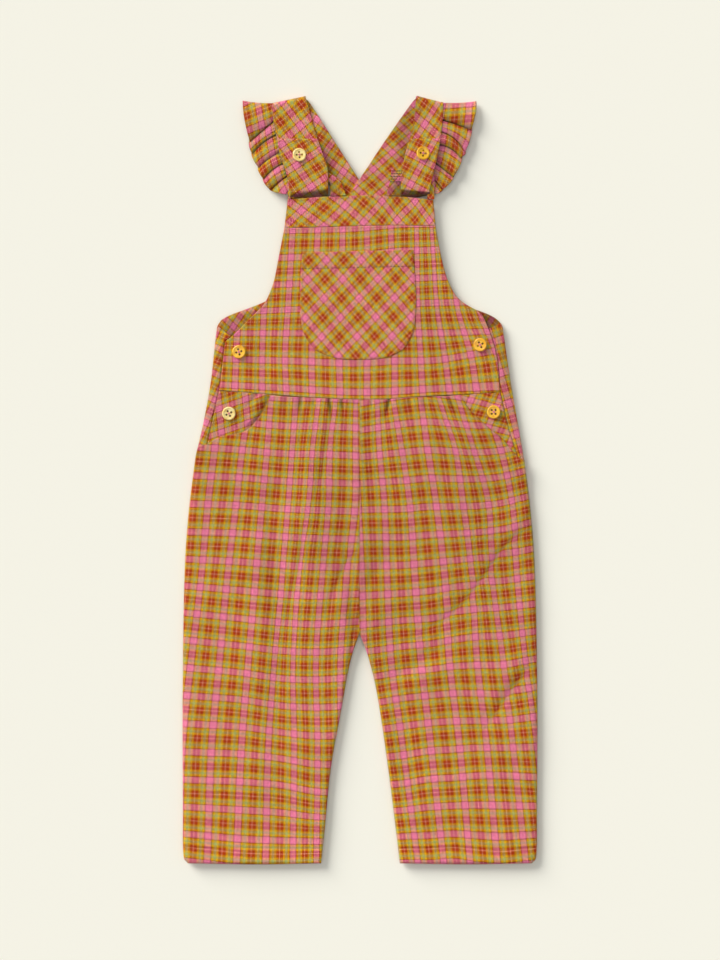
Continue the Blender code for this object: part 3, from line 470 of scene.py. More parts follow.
class Edge:
    """A smooth outline that can be read at any share of its length."""

    def __init__(self, points):
        runs = [[points[0]]]
        for before, point in zip(points, points[1:]):
            if point == before:
                runs.append([point])
            else:
                runs[-1].append(point)
        self.samples = np.vstack([smooth_run(run) for run in runs])
        steps = np.linalg.norm(np.diff(self.samples, axis=0), axis=1)
        self.lengths = np.concatenate([[0.0], np.cumsum(steps)])
        self.length = self.lengths[-1]

    def at(self, share):
        wanted = np.asarray(share) * self.length
        columns = [np.interp(wanted, self.lengths, column) for column in self.samples.T]
        return np.stack(columns, axis=-1)

    def at_height(self, y):
        """The point where a side edge, listed from the top, passes height y."""
        x = np.interp(-y, -self.samples[:, 1], self.samples[:, 0])
        return (float(x), y)

    def gap(self, x, y):
        """How far each point lies from the outline."""
        nearest = np.full(np.shape(x), 1e9)
        for start, end in zip(self.samples, self.samples[1:]):
            along = end - start
            size = float(along @ along)
            if size < 1e-12:
                continue
            share = np.clip(((x - start[0]) * along[0] + (y - start[1]) * along[1]) / size, 0.0, 1.0)
            dx = x - start[0] - share * along[0]
            dy = y - start[1] - share * along[1]
            nearest = np.minimum(nearest, dx * dx + dy * dy)
        return np.sqrt(nearest)


def side_from(side, start_y):
    """The part of a side outline below start_y."""
    rest = [point for point in side if point[1] < start_y - 4.0]
    return (Edge(side).at_height(start_y), *rest)


def side_to(side, end_y):
    """The part of a side outline above end_y."""
    rest = [point for point in side if point[1] > end_y + 4.0]
    return (*rest, Edge(side).at_height(end_y))


def crowded(count, pull=0.55):
    """Shares from 0 to 1 that lie closer together near both ends."""
    share = np.linspace(0.0, 1.0, count + 1)
    return share - pull * np.sin(2.0 * np.pi * share) / (2.0 * np.pi)


def rolled(gap, reach):
    """A quarter-round edge: 0 on the edge, 1 from reach inwards."""
    inside = 1.0 - np.clip(gap / reach, 0.0, 1.0)
    return np.sqrt(np.maximum(1.0 - inside * inside, 0.0))


def folded(x, y, folds):
    """Sum of the soft ridges and troughs at each point."""
    height = np.zeros(np.shape(x))
    for fold in folds:
        run = np.array([fold.x1 - fold.x0, fold.y1 - fold.y0])
        size = float(run @ run)
        along = ((x - fold.x0) * run[0] + (y - fold.y0) * run[1]) / size
        share = np.clip(along, 0.0, 1.0)
        away2 = (x - fold.x0 - share * run[0]) ** 2 + (y - fold.y0 - share * run[1]) ** 2
        fade = 1.0 - 0.75 * ramp(share, 0.35, 1.0)
        height += fold.height * fade * np.exp(-away2 / (2.0 * fold.width ** 2))
    return height


def creased(x, y, creases):
    """Height of the creases at each point, and how far they pull the cloth."""
    height, pull_x, pull_y = np.zeros((3, *np.shape(x)))
    for crease in creases:
        line = Edge(crease.points)
        first, last = line.samples[0], line.samples[-1]
        size = np.linalg.norm(last - first)
        ahead = (last - first) / size
        sideways = np.array([-ahead[1], ahead[0]])
        along = ((x - first[0]) * ahead[0] + (y - first[1]) * ahead[1]) / size
        across = (x - first[0]) * sideways[0] + (y - first[1]) * sideways[1]
        middle = np.interp(along, (line.samples - first) @ ahead / size, (line.samples - first) @ sideways)
        away = line.gap(x, y) / crease.reach
        fade = ramp(along, -0.04, 0.20) * (1.0 - ramp(along, 0.60, 1.04))
        height -= crease.depth * fade * np.exp(-away * away)
        push = crease.slack * fade * away * np.exp(-away) * np.sign(across - middle)
        pull_x += push * sideways[0]
        pull_y += push * sideways[1]
    return height, pull_x, pull_y


def shaded(x, y, folds):
    """How much painted shade darkens the narrow tucks among some folds."""
    tucks = [fold for fold in folds if fold.height < 0.0 and fold.width < TUCK_WIDE]
    return TUCK_SHADE * folded(x, y, tucks)


def patched(x, y, patches):
    """How much painted light and shade lighten or darken each point."""
    tone = np.zeros(np.shape(x))
    for patch in patches:
        away2 = ((x - patch.x) / patch.reach_x) ** 2 + ((y - patch.y) / patch.reach_y) ** 2
        tone += patch.tone * np.exp(-away2 / 2.0)
    return tone


def sway(x, y, shift):
    """The faint unevenness of cloth that was smoothed out by hand."""
    return (
        0.22 * np.sin(x / 13.0 + y / 31.0 + shift)
        + 0.20 * np.sin(x / 23.0 - y / 17.0 + 2.1 * shift)
        + 0.16 * np.sin(y / 11.0 + np.sin(x / 19.0 + shift) * 1.4)
        + 0.10 * np.sin(x / 7.3 + np.sin(y / 23.0 + shift) * 1.7)
    )


def hermite(share, span, ends, slopes):
    """A smooth step between two ends that leaves each at its own slope."""
    square, cube = share ** 2, share ** 3
    return (
        (2.0 * cube - 3.0 * square + 1.0) * ends[0] + (cube - 2.0 * square + share) * span * slopes[0]
        + (3.0 * square - 2.0 * cube) * ends[1] + (cube - square) * span * slopes[1]
    )


def eased(value, marks, results):
    """Read a smooth curve through (marks, results), marks rising."""
    marks = np.asarray(marks, dtype=float)
    results = np.asarray(results, dtype=float)
    slopes = np.gradient(results, marks)
    place = np.clip(np.searchsorted(marks, value) - 1, 0, len(marks) - 2)
    span = marks[place + 1] - marks[place]
    share = np.clip((value - marks[place]) / span, 0.0, 1.0)
    beyond = value - np.clip(value, marks[0], marks[-1])
    inside = hermite(share, span, (results[place], results[place + 1]), (slopes[place], slopes[place + 1]))
    return inside + beyond * slopes[np.where(beyond > 0.0, len(marks) - 1, 0)]


def counted(value, bands, numbers):
    """How many repeats along each point lies, between bands that it meets.

    bands holds one array per band, each as long as value and rising.
    """
    bands = np.stack(bands)
    numbers = np.asarray(numbers, dtype=float)
    last = len(numbers) - 1
    slopes = np.gradient(numbers)[:, None] / np.gradient(bands, axis=0)
    place = np.clip((value > bands).sum(axis=0) - 1, 0, last - 1)
    rank = np.arange(len(value))
    low, high = bands[place, rank], bands[place + 1, rank]
    share = np.clip((value - low) / (high - low), 0.0, 1.0)
    inside = hermite(
        share, high - low, (numbers[place], numbers[place + 1]),
        (slopes[place, rank], slopes[place + 1, rank]))
    beyond = value - np.clip(value, bands[0], bands[-1])
    return inside + beyond * slopes[np.where(beyond > 0.0, last, 0), rank]


def grain_check(grain, x, y):
    """Repeats of the check across and down, following the laid bands."""
    heights = np.asarray(grain.heights)[::-1]
    columns = [eased(y, heights, column[::-1]) for column in grain.columns]
    across = counted(x, columns, range(len(columns)))
    rows = [-eased(x, grain.places, row) for row in grain.rows]
    down = counted(-y, rows, grain.numbers)
    return across, down


def laid_check(lay, x, y):
    """Repeats along the two yarns of a piece whose check lies at an angle."""
    turn, lean = math.radians(lay.turn), math.radians(lay.turn + lay.lean)
    dx, dy = x - lay.x, y - lay.y
    first = (dx * math.cos(turn) + dy * math.sin(turn)) / lay.first
    second = (dx * math.sin(lean) - dy * math.cos(lean)) / lay.second
    return first, second


# ------------------------------------------------------------ colours, nodes
def paint(red, green, blue):
    """A colour as seen on a screen, 0 to 255, made linear."""
    parts = []
    for part in (red, green, blue):
        part = part / 255.0
        parts.append(part / 12.92 if part <= 0.04045 else ((part + 0.055) / 1.055) ** 2.4)
    return (*parts, 1.0)


def feed(tree, made, inputs):
    """Set a node's inputs to values, or link them to other sockets."""
    for label, source in inputs.items():
        if isinstance(source, bpy.types.NodeSocket):
            tree.links.new(source, made.inputs[label])
        else:
            made.inputs[label].default_value = source


def node(tree, kind, inputs=None, **settings):
    """A new node with its settings and inputs."""
    made = tree.nodes.new(kind)
    for name, value in settings.items():
        setattr(made, name, value)
    feed(tree, made, inputs or {})
    return made


def maths(tree, operation, *sources):
    """The result of one sum on numbers or sockets."""
    return node(tree, "ShaderNodeMath", dict(enumerate(sources)), operation=operation).outputs[0]


def product(tree, *sources):
    """All the sources multiplied."""
    return reduce(partial(maths, tree, "MULTIPLY"), sources)


def blended(tree, factor, first, second, kind="RGBA"):
    """A mix of two colours, or of two numbers if kind is FLOAT."""
    made = node(tree, "ShaderNodeMix", {"Factor": factor, "A": first, "B": second}, data_type=kind)
    return made.outputs["Result"]


def noise(tree, place, scale, **inputs):
    """Cloudy noise from 0 to 1."""
    inputs = {"Vector": place, "Scale": scale, **inputs}
    return node(tree, "ShaderNodeTexNoise", inputs).outputs["Fac"]


def bump(tree, height, strength, distance, **inputs):
    """The normal of a surface with bumps, over another Normal if it is given."""
    inputs = {"Height": height, "Strength": strength, "Distance": distance, **inputs}
    return node(tree, "ShaderNodeBump", inputs).outputs["Normal"]


def new_group(name, inputs, outputs):
    """A shader group with (name, socket type, value) inputs."""
    tree = bpy.data.node_groups.new(name, "ShaderNodeTree")
    for label, kind, value in inputs:
        socket = tree.interface.new_socket(label, in_out="INPUT", socket_type=kind)
        if value is not None:
            socket.default_value = value
    for label, kind in outputs:
        tree.interface.new_socket(label, in_out="OUTPUT", socket_type=kind)
    return tree, node(tree, "NodeGroupInput"), node(tree, "NodeGroupOutput")


def use_group(tree, group, **inputs):
    """The outputs of a shader group that is used in a tree."""
    made = tree.nodes.new("ShaderNodeGroup")
    made.node_tree = group
    feed(tree, made, inputs)
    return made.outputs


def new_material(name):
    """A material's own data, its node tree and its surface shader."""
    material = bpy.data.materials.new(name)
    material.use_nodes = True
    return material, material.node_tree, material.node_tree.nodes["Principled BSDF"]


# ------------------------------------------------------------ the check
PINK = paint(234, 124, 158)
PALE_PINK = paint(246, 176, 146)
RUST = paint(171, 57, 4)
MUSTARD = paint(209, 159, 0)
SAGE = paint(162, 169, 95)
LINE = paint(144, 42, 9)
WORN = paint(150, 84, 46)

# One repeat of coloured yarns, as shares of it: where each stripe begins.
SETT = (
    (0.0, PINK), (0.107, LINE), (0.143, MUSTARD), (0.214, SAGE), (0.304, MUSTARD),
    (0.375, RUST), (0.482, PALE_PINK), (0.500, RUST), (0.625, MUSTARD), (0.696, SAGE),
    (0.786, MUSTARD), (0.857, LINE), (0.893, PINK),
)

# How much each part of the weave and the nap darkens the yarn: its reach, and
# what is left where it is least. The Height part is painted shade where the
# rounded yarn dips between its neighbours; the other parts are the yarns' and
# the dye's own uneven tone.
WEAVE_TONES = {"Height": (0.34, 0.75), "Uneven": (0.32, 0.84), "Crossing": (0.60, 0.70)}
NAP_TONES = {"Fibres": (0.50, 0.75), "Patches": (0.14, 0.93)}
BRUSHED_OVER = 0.04      # how much of the yarn beneath shows through the nap
WORN_SHARE = 0.34        # how far a rubbed edge turns brown
WEFT_RANK_START = 211.0  # wefts are numbered from here, so none looks like a warp


def make_sett():
    """Colour of the yarn at a place in the repeat, the same in both ways."""
    tree, given, made = new_group(
        "check_yarns", [("Place", "NodeSocketFloat", 0.0)], [("Yarn", "NodeSocketColor")])
    stripes = node(tree, "ShaderNodeValToRGB", {"Fac": maths(tree, "FRACT", given.outputs["Place"])})
    stripes.color_ramp.interpolation = "CONSTANT"
    elements = stripes.color_ramp.elements
    while len(elements) > 1:
        elements.remove(elements[-1])
    elements[0].position, elements[0].color = SETT[0]
    for start, colour in SETT[1:]:
        elements.new(start).color = colour
    feed(tree, made, {"Yarn": stripes.outputs["Color"]})
    return tree


def make_twill():
    """Two-over-two twill: which yarn is on top, and how it stands up."""
    tree, given, made = new_group(
        "twill_weave",
        [("Cloth", "NodeSocketVector", None), ("Threads", "NodeSocketFloat", THREADS)],
        [(label, "NodeSocketFloat") for label in (
            "Warp Place", "Weft Place", "Warp Up", "Height", "Uneven", "Crossing")])
    threads = given.outputs["Threads"]
    parts = node(tree, "ShaderNodeSeparateXYZ", {0: given.outputs["Cloth"]}).outputs
    ranks, rounds, places = [], [], []
    for part in (parts["X"], parts["Y"]):
        count = maths(tree, "MULTIPLY", part, threads)
        rank = maths(tree, "FLOOR", count)
        across = maths(tree, "MULTIPLY", maths(tree, "FRACT", count), math.pi)
        ranks.append(rank)
        rounds.append(maths(tree, "SINE", across))
        places.append(maths(tree, "DIVIDE", maths(tree, "ADD", rank, 0.5), threads))
    diagonal = maths(tree, "FLOORED_MODULO", maths(tree, "ADD", *ranks), 4.0)
    warp_up = maths(tree, "LESS_THAN", diagonal, 1.5)
    weft_rank = maths(tree, "ADD", ranks[1], WEFT_RANK_START)
    top_rank = blended(tree, warp_up, weft_rank, ranks[0], "FLOAT")
    uneven = node(tree, "ShaderNodeTexWhiteNoise", noise_dimensions="1D")
    feed(tree, uneven, {"W": top_rank})
    spot = node(tree, "ShaderNodeCombineXYZ", {"X": ranks[0], "Y": ranks[1]})
    crossing = node(tree, "ShaderNodeTexWhiteNoise", noise_dimensions="2D")
    feed(tree, crossing, {"Vector": spot.outputs[0]})
    feed(tree, made, {
        "Warp Place": places[0], "Weft Place": places[1], "Warp Up": warp_up,
        "Height": blended(tree, warp_up, rounds[1], rounds[0], "FLOAT"),
        "Uneven": uneven.outputs["Value"], "Crossing": crossing.outputs["Value"],
    })
    return tree


def make_nap():
    """Brushed fibres and the uneven take-up of dye, on object coordinates."""
    tree, given, made = new_group(
        "brushed_nap", [("Place", "NodeSocketVector", None)],
        [("Fibres", "NodeSocketFloat"), ("Patches", "NodeSocketFloat")])
    for label, scale, detail in (("Fibres", 700.0, 3.0), ("Patches", 38.0, 4.0)):
        feed(tree, made, {label: noise(tree, given.outputs["Place"], scale, Detail=detail)})
    return tree


def cloth_material(name, sett, twill, nap_and_painted_shading, shade):
    """Yarn-dyed check in brushed twill. shade darkens it as a whole."""
    material, tree, shader = new_material(name)
    cloth = node(tree, "ShaderNodeUVMap", uv_map="check")
    place = node(tree, "ShaderNodeTexCoord").outputs["Object"]
    weave = use_group(tree, twill, Cloth=cloth.outputs["UV"], Threads=THREADS)
    warp = use_group(tree, sett, Place=weave["Warp Place"])["Yarn"]
    weft = use_group(tree, sett, Place=weave["Weft Place"])["Yarn"]
    brushed = use_group(tree, nap_and_painted_shading, Place=place)

    # Brushing blurs the top yarn into the one beneath it.
    top = blended(tree, weave["Warp Up"], weft, warp)
    beneath = blended(tree, weave["Warp Up"], warp, weft)
    yarn = blended(tree, BRUSHED_OVER, top, beneath)

    # Painted light and shade, held by each piece, lighten or darken its colour
    # in broad patches and in its tucks, creases, folds and turns.
    painted_shading = node(tree, "ShaderNodeAttribute", attribute_name="nap_and_painted_shading").outputs["Fac"]
    tones = [maths(tree, "ADD", painted_shading, 1.0), shade]
    for source, shares in ((weave, WEAVE_TONES), (brushed, NAP_TONES)):
        for label, (reach, least) in shares.items():
            tones.append(maths(tree, "MULTIPLY_ADD", source[label], reach, least))
    toned = node(tree, "ShaderNodeVectorMath", operation="SCALE")
    feed(tree, toned, {0: yarn, "Scale": product(tree, *tones)})

    # Edges that rub lose their nap and look browner.
    rubbed = node(tree, "ShaderNodeAttribute", attribute_name="rubbed").outputs["Fac"]
    worn = product(tree, rubbed, brushed["Fibres"], WORN_SHARE)
    fuzz = bump(tree, brushed["Fibres"], 0.35, 0.12 * MM)
    feed(tree, shader, {
        "Base Color": blended(tree, worn, toned.outputs[0], WORN),
        "Roughness": maths(tree, "MULTIPLY_ADD", brushed["Fibres"], 0.12, 0.80),
        "Specular IOR Level": 0.25,
        "Sheen Weight": 0.12, "Sheen Roughness": 0.45, "Sheen Tint": paint(255, 236, 214),
        "Normal": bump(tree, weave["Height"], 0.5, 0.10 * MM, Normal=fuzz),
    })
    return material


def thread_material(name, colour):
    """Twisted sewing thread."""
    material, tree, shader = new_material(name)
    twist = noise(tree, node(tree, "ShaderNodeTexCoord").outputs["Object"], 2600.0)
    dark = (*(part * 0.72 for part in colour[:3]), 1.0)
    feed(tree, shader, {
        "Base Color": blended(tree, twist, dark, colour), "Roughness": 0.62, "Sheen Weight": 0.2,
        "Normal": bump(tree, twist, 0.4, 0.08 * MM),
    })
    return material


def button_material(name, heart, rim):
    """Cast resin: cloudy inside, with turning marks and a worn gloss."""
    material, tree, shader = new_material(name)
    place = node(tree, "ShaderNodeTexCoord").outputs["Object"]
    clouds = noise(tree, place, 260.0, Detail=3.0)
    spread = node(tree, "ShaderNodeMapRange", {"Value": clouds, "From Min": 0.35, "From Max": 0.65})
    scuffs = noise(tree, place, 1900.0)
    feed(tree, shader, {
        "Base Color": blended(tree, spread.outputs["Result"], rim, heart),
        "Roughness": maths(tree, "MULTIPLY_ADD", scuffs, 0.16, 0.26),
        "Coat Weight": 0.35, "Coat Roughness": 0.18,
        "Normal": bump(tree, scuffs, 0.12, 0.05 * MM),
    })
    return material


# ------------------------------------------------------------ making pieces
def placed(name, data):
    """An object in the scene that shows some data."""
    made = bpy.data.objects.new(name, data)
    bpy.context.scene.collection.objects.link(made)
    return made


def baked(guide, *helpers):
    """The mesh that an object's modifiers make of it; the object goes."""
    bpy.context.view_layer.update()
    mesh = bpy.data.meshes.new_from_object(guide.evaluated_get(bpy.context.evaluated_depsgraph_get()))
    for thing in (*helpers, guide):
        bpy.data.objects.remove(thing, do_unlink=True)
    return mesh


def grid_mesh(name, points, check, rubbed, nap_and_painted_shading, material):
    """A sheet from a grid of points in mm, listed from the top left."""
    rows, columns = points.shape[:2]
    rank = np.arange(rows * columns).reshape(rows, columns)
    faces = np.stack([rank[:-1, :-1], rank[1:, :-1], rank[1:, 1:], rank[:-1, 1:]], axis=-1).reshape(-1, 4)
    mesh = bpy.data.meshes.new(name)
    mesh.from_pydata((points.reshape(-1, 3) * MM).tolist(), [], faces.tolist())
    layer = mesh.uv_layers.new(name="check")
    layer.data.foreach_set("uv", check.reshape(-1, 2)[faces.reshape(-1)].astype(np.float32).ravel())
    for label, values in (("rubbed", rubbed), ("nap_and_painted_shading", nap_and_painted_shading)):
        layer = mesh.attributes.new(label, "FLOAT", "POINT")
        layer.data.foreach_set("value", values.reshape(-1).astype(np.float32))
    mesh.materials.append(material)
    mesh.shade_smooth()
    return placed(name, mesh)


def thicken(piece, thickness, offset):
    """Give a sheet its wall: offset -1 grows it downwards, 0 both ways."""
    solidify = piece.modifiers.new("wall", "SOLIDIFY")
    solidify.thickness = thickness * MM
    solidify.offset = offset
    solidify.use_rim = True
    solidify.use_even_offset = False


def settle(piece, node_name):
    """Put a piece in the frame: it stands for its CAD solid."""
    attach(piece, "root")
    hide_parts(node_name)


class Panel:
    """A laid sheet between four edges: u runs left to right, v downwards.

    top_of(x, y, u) gives its top in mm and check_of(x, y) its place in the
    check. Its top and bottom run straight if they aren't given.
    """

    def __init__(
        self, left, right, top_of, check_of, top=None, bottom=None, wear_edges=(), wear_reach=WEAR_REACH,
    ):
        self.left, self.right = Edge(left), Edge(right)
        self.top = Edge(top or (left[0], right[0]))
        self.bottom = Edge(bottom or (left[-1], right[-1]))
        self.top_of, self.check_of = top_of, check_of
        self.wear_edges, self.wear_reach = wear_edges, wear_reach

    def flat(self, u, v):
        """Where each (u, v) lies between the four edges."""
        u1, v1 = u[..., None], v[..., None]
        across = self.left.at(v) * (1.0 - u1) + self.right.at(v) * u1
        down = self.top.at(u) * (1.0 - v1) + self.bottom.at(u) * v1
        upper = self.top.at(0.0) * (1.0 - u1) + self.top.at(1.0) * u1
        lower = self.bottom.at(0.0) * (1.0 - u1) + self.bottom.at(1.0) * u1
        return across + down - upper * (1.0 - v1) - lower * v1

    def surface(self, u, v):
        flat = self.flat(u, v)
        x, y = flat[..., 0], flat[..., 1]
        return np.stack([x, y, self.top_of(x, y, u)], axis=-1)

    def build(self, name, columns, rows, material, patches=(), folds=(), creases=()):
        """Make the piece that this panel describes."""
        points = self.surface(*np.meshgrid(crowded(columns), crowded(rows)))
        x, y = points[..., 0].ravel(), points[..., 1].ravel()
        # Painted light and shade: the patches lighten or darken the colour, and the tucks and creases darken
        # it.
        nap_and_painted_shading = patched(x, y, patches) + shaded(x, y, folds) + CREASE_SHADE * creased(x, y, creases)[0]
        rubbed = np.zeros(len(x))
        for edge in self.wear_edges:
            rubbed = np.maximum(rubbed, 1.0 - ramp(edge.gap(x, y), WEAR_START, self.wear_reach))
        check = np.stack(self.check_of(x, y), axis=-1)
        self.piece = grid_mesh(name + "_cloth", points, check, rubbed, nap_and_painted_shading, material)
        thicken(self.piece, CLOTH, -1.0)
        return self


# ------------------------------------------------------------ heights, mm
def raised(gap):
    """How far the back stands off the surface near its own edges."""
    return EDGE_LIFT * (1.0 - ramp(gap, 0.0, EDGE_REACH))


def front_level(x, y):
    """Top of the front bodice, bib and hip panels."""
    on_bib = ramp(y, *BIB_CLIMB)
    side = ramp(np.abs(x), 84.0, 106.0) * (1.0 - on_bib)
    return FRONT_TOP + BIB_RISE * on_bib + SIDE_RISE * side


def leg_level(seams, opening, folds, creases, shift):
    """Top of a front leg: a soft tube with rolled sides and gathers."""
    outer, centre, inseam, waist = seams

    def top_of(x, y, u):
        waist_gap = waist.gap(x, y)
        near_waist = 1.0 - ramp(waist_gap, *WAIST_REACH)
        loft = LEG_TOP + LEG_CROWN * np.sin(np.pi * np.clip(u, 0.0, 1.0)) ** 0.6 - near_waist
        level = loft + folded(x, y, folds) + creased(x, y, creases)[0] + sway(x, y, shift)
        wave = np.sin(x / 1.45 + 1.9 * np.sin(x / 6.1 + shift)) + 0.6 * np.sin(x / 2.7 + shift)
        level = level + GATHER * wave * np.exp(-waist_gap / 8.0) * rolled(waist_gap, 2.0)
        level = level - SEAM_DIP * (1.0 - rolled(waist_gap, 0.9))

        edge = LEG_SIDE_TOP + 1.5 * ramp(y, -20.0, 14.0)
        level = edge + (level - edge) * rolled(outer.gap(x, y), 6.0)
        parted = ramp(-y, *LEGS_PART)
        near = (1.0 - ramp(centre.gap(x, y), 1.0, 14.0)) * (1.0 - parted)
        joined = CENTRE_SEAM_TOP - 0.8 * near_waist + 0.3 * np.sin(y / 19.0) - 0.7 * ramp(-y, 70.0, 132.0)
        level = level * (1.0 - near) + joined * near
        tucked = INSEAM_TOP + (level - INSEAM_TOP) * rolled(inseam.gap(x, y), 4.0)
        level = level * (1.0 - parted) + tucked * parted

        hip_gap = opening.gap(x, y)
        over_hip = 1.0 - ramp(hip_gap, 8.0, 30.0)
        hip_top = front_level(x, y) + CLOTH + 0.30 + 0.4 * rolled(hip_gap, 2.0)
        level = level * (1.0 - over_hip) + np.maximum(level, hip_top) * over_hip
        edging = 1.0 - rolled(hip_gap, 1.4)
        level = level - edging * np.maximum(level - hip_top, 0.0)

        hem_gap = y - HEM_Y
        row_gap = hem_gap - HEM_TURN
        pucker = HEM_PUCKER * np.sin(x / 1.9 + np.sin(x / 7.0)) * np.exp(-(row_gap / 4.5) ** 2)
        level = level - HEM_ROW_DIP * np.exp(-(row_gap / 1.1) ** 2) + pucker
        bottom = 1.0 - rolled(np.maximum(hem_gap, 0.0), 2.4)
        return level - (level - HEM_TOP) * 0.8 * bottom

    return top_of


def bodice_level(edges, folds, shift):
    """Top of the front bodice. Each edge sinks over a reach to a depth."""

    def top_of(x, y, u):
        level = front_level(x, y) + 0.35 * sway(x, y, shift) + folded(x, y, folds)
        for edge, reach, depth in edges:
            level = level - depth * (1.0 - rolled(edge.gap(x, y), reach))
        return level

    return top_of


def back_level(edges):
    """The back lies on the surface, and lifts off it at its edges."""

    def top_of(x, y, u):
        return CLOTH + raised(np.minimum.reduce([edge.gap(x, y) for edge in edges]))

    return top_of


# ------------------------------------------------------------ cloth pieces
def make_back(cloth, inside_cloth):
    """Back bodice, seen from inside, and back legs, flat on the surface."""
    sides = [side_to(side, WAIST_Y) for side in (SIDE_LEFT, SIDE_RIGHT)]
    left, right = ARMHOLE_LEFT + sides[0], ARMHOLE_RIGHT + sides[1]
    armholes = (Edge(ARMHOLE_LEFT), Edge(ARMHOLE_RIGHT))
    edges = (*armholes, *(Edge(side) for side in sides))

    def level(x, y, u):
        armhole = np.minimum(*(edge.gap(x, y) for edge in armholes))
        gap = np.minimum.reduce([edge.gap(x, y) for edge in edges])
        binding = 0.7 * np.exp(-((armhole - 3.0) / 3.0) ** 2)
        return CLOTH + binding + raised(gap) * ramp(np.abs(x), 60.0, 100.0)

    bodice = Panel(
        left, right, level, partial(laid_check, ARMHOLE_LAY),
        (left[0], (0.0, 180.0), right[0]), (left[-1], (0.0, WAIST_Y), right[-1]), armholes)
    panels = {"back_bodice": bodice.build("back_bodice", 90, 60, inside_cloth, ARMHOLE_PATCHES)}

    leg_top = WAIST_Y - SEAM_GAP
    for name, side, inseam, way in (
        ("back_leg_left", SIDE_LEFT, INSEAM_LEFT, -1.0), ("back_leg_right", SIDE_RIGHT, INSEAM_RIGHT, 1.0),
    ):
        outer = side_from(side, leg_top)
        inner = moved(((0.0, leg_top), *inseam[1:]), way * SEAM_GAP / 2, 0.0)
        level = back_level((Edge(outer), Edge(inner[3:]), Edge((outer[-1], inner[-1]))))
        left, right = (outer, inner) if way < 0.0 else (inner, outer)
        panels[name] = Panel(left, right, level, partial(laid_check, BACK_LAY)).build(name, 40, 90, cloth)
    return panels


def make_plackets(cloth):
    """The back's strip that comes forward under each side of the front."""
    panels = {}
    for name, side, shoulder, corner, inner_x, lay, front in (
        ("placket_left", SIDE_LEFT, (-130.4, 141.8), (-116.0, 130.2), (-119.0, -132.0), PLACKET_LEFT_LAY,
         BIB_SIDE_LEFT[-5:] + FRONT_EDGE_LEFT[1:]),
        ("placket_right", SIDE_RIGHT, (130.0, 144.4), (116.2, 138.8), (118.5, 133.0), PLACKET_RIGHT_LAY,
         BIB_SIDE_RIGHT[-4:] + FRONT_EDGE_RIGHT[1:]),
    ):
        outer = (shoulder, *side_to(side, 18.0))
        inner = (corner, (inner_x[0], 84.0), (inner_x[1], outer[-1][1]))
        edge, over = Edge(outer), Edge(front)

        def level(x, y, u, edge=edge, over=over):
            gap = edge.gap(x, y)
            height = PLACKET_TOP + raised(gap) + 0.5 * rolled(gap, 3.0) + 0.3 * sway(x, y, 1.7)
            outside = (x - np.interp(-y, -over.samples[:, 1], over.samples[:, 0])) * np.sign(x)
            under = front_level(x, y) - 1.4 + 0.9 * ramp(outside, 0.2, 1.5)
            near = (1.0 - ramp(over.gap(x, y), 3.0, 12.0)) * rolled(gap, 4.0)
            return height + near * np.maximum(under - height, 0.0)

        left, right = (outer, inner) if side is SIDE_LEFT else (inner, outer)
        panel = Panel(left, right, level, partial(laid_check, lay))
        panels[name] = panel.build(name, 56, 110, cloth, PLACKET_PATCHES, PLACKET_FOLDS)
    return panels


def make_hip_panels(cloth):
    """The bias pieces behind the curved pocket openings."""
    panels = {}
    below = -SEAM_GAP / 2
    waist = Edge(WAIST_FRONT)
    for name, edge, way, lay, folds in (
        ("hip_panel_left", FRONT_EDGE_LEFT, -1.0, HIP_LEFT_LAY, HIP_LEFT_FOLDS),
        ("hip_panel_right", FRONT_EDGE_RIGHT, 1.0, HIP_RIGHT_LAY, HIP_RIGHT_FOLDS),
    ):
        seam = moved(tuple(p for p in WAIST_FRONT if 70.0 < p[0] * way < 112.0), 0.0, below)
        if way < 0.0:
            top = (edge[0], *seam[:2], (-72.0, 77.8 + below))
            left = (*edge, (edge[2][0] - 1.4, 24.0))
            right = (top[-1], (-80.0, 55.0), (-92.0, 38.0))
            bottom = (left[-1], (-115.0, 30.0), right[-1])
        else:
            top = ((82.6, 78.0 + below), *seam[-1:], edge[0])
            left = (top[0], (88.0, 60.0), (100.0, 46.0))
            right = (*edge, (edge[2][0] + 1.2, 14.0))
            bottom = (left[-1], (122.0, 30.0), right[-1])
        front = Edge(edge)
        level = bodice_level(((waist, 0.9, SEAM_DIP), (front, 1.0, SEAM_DIP)), folds, 0.4)
        panel = Panel(left, right, level, partial(laid_check, lay), top, bottom, (front,))
        panels[name] = panel.build(name, 60, 60, cloth, HIP_PATCHES, folds)
    return panels


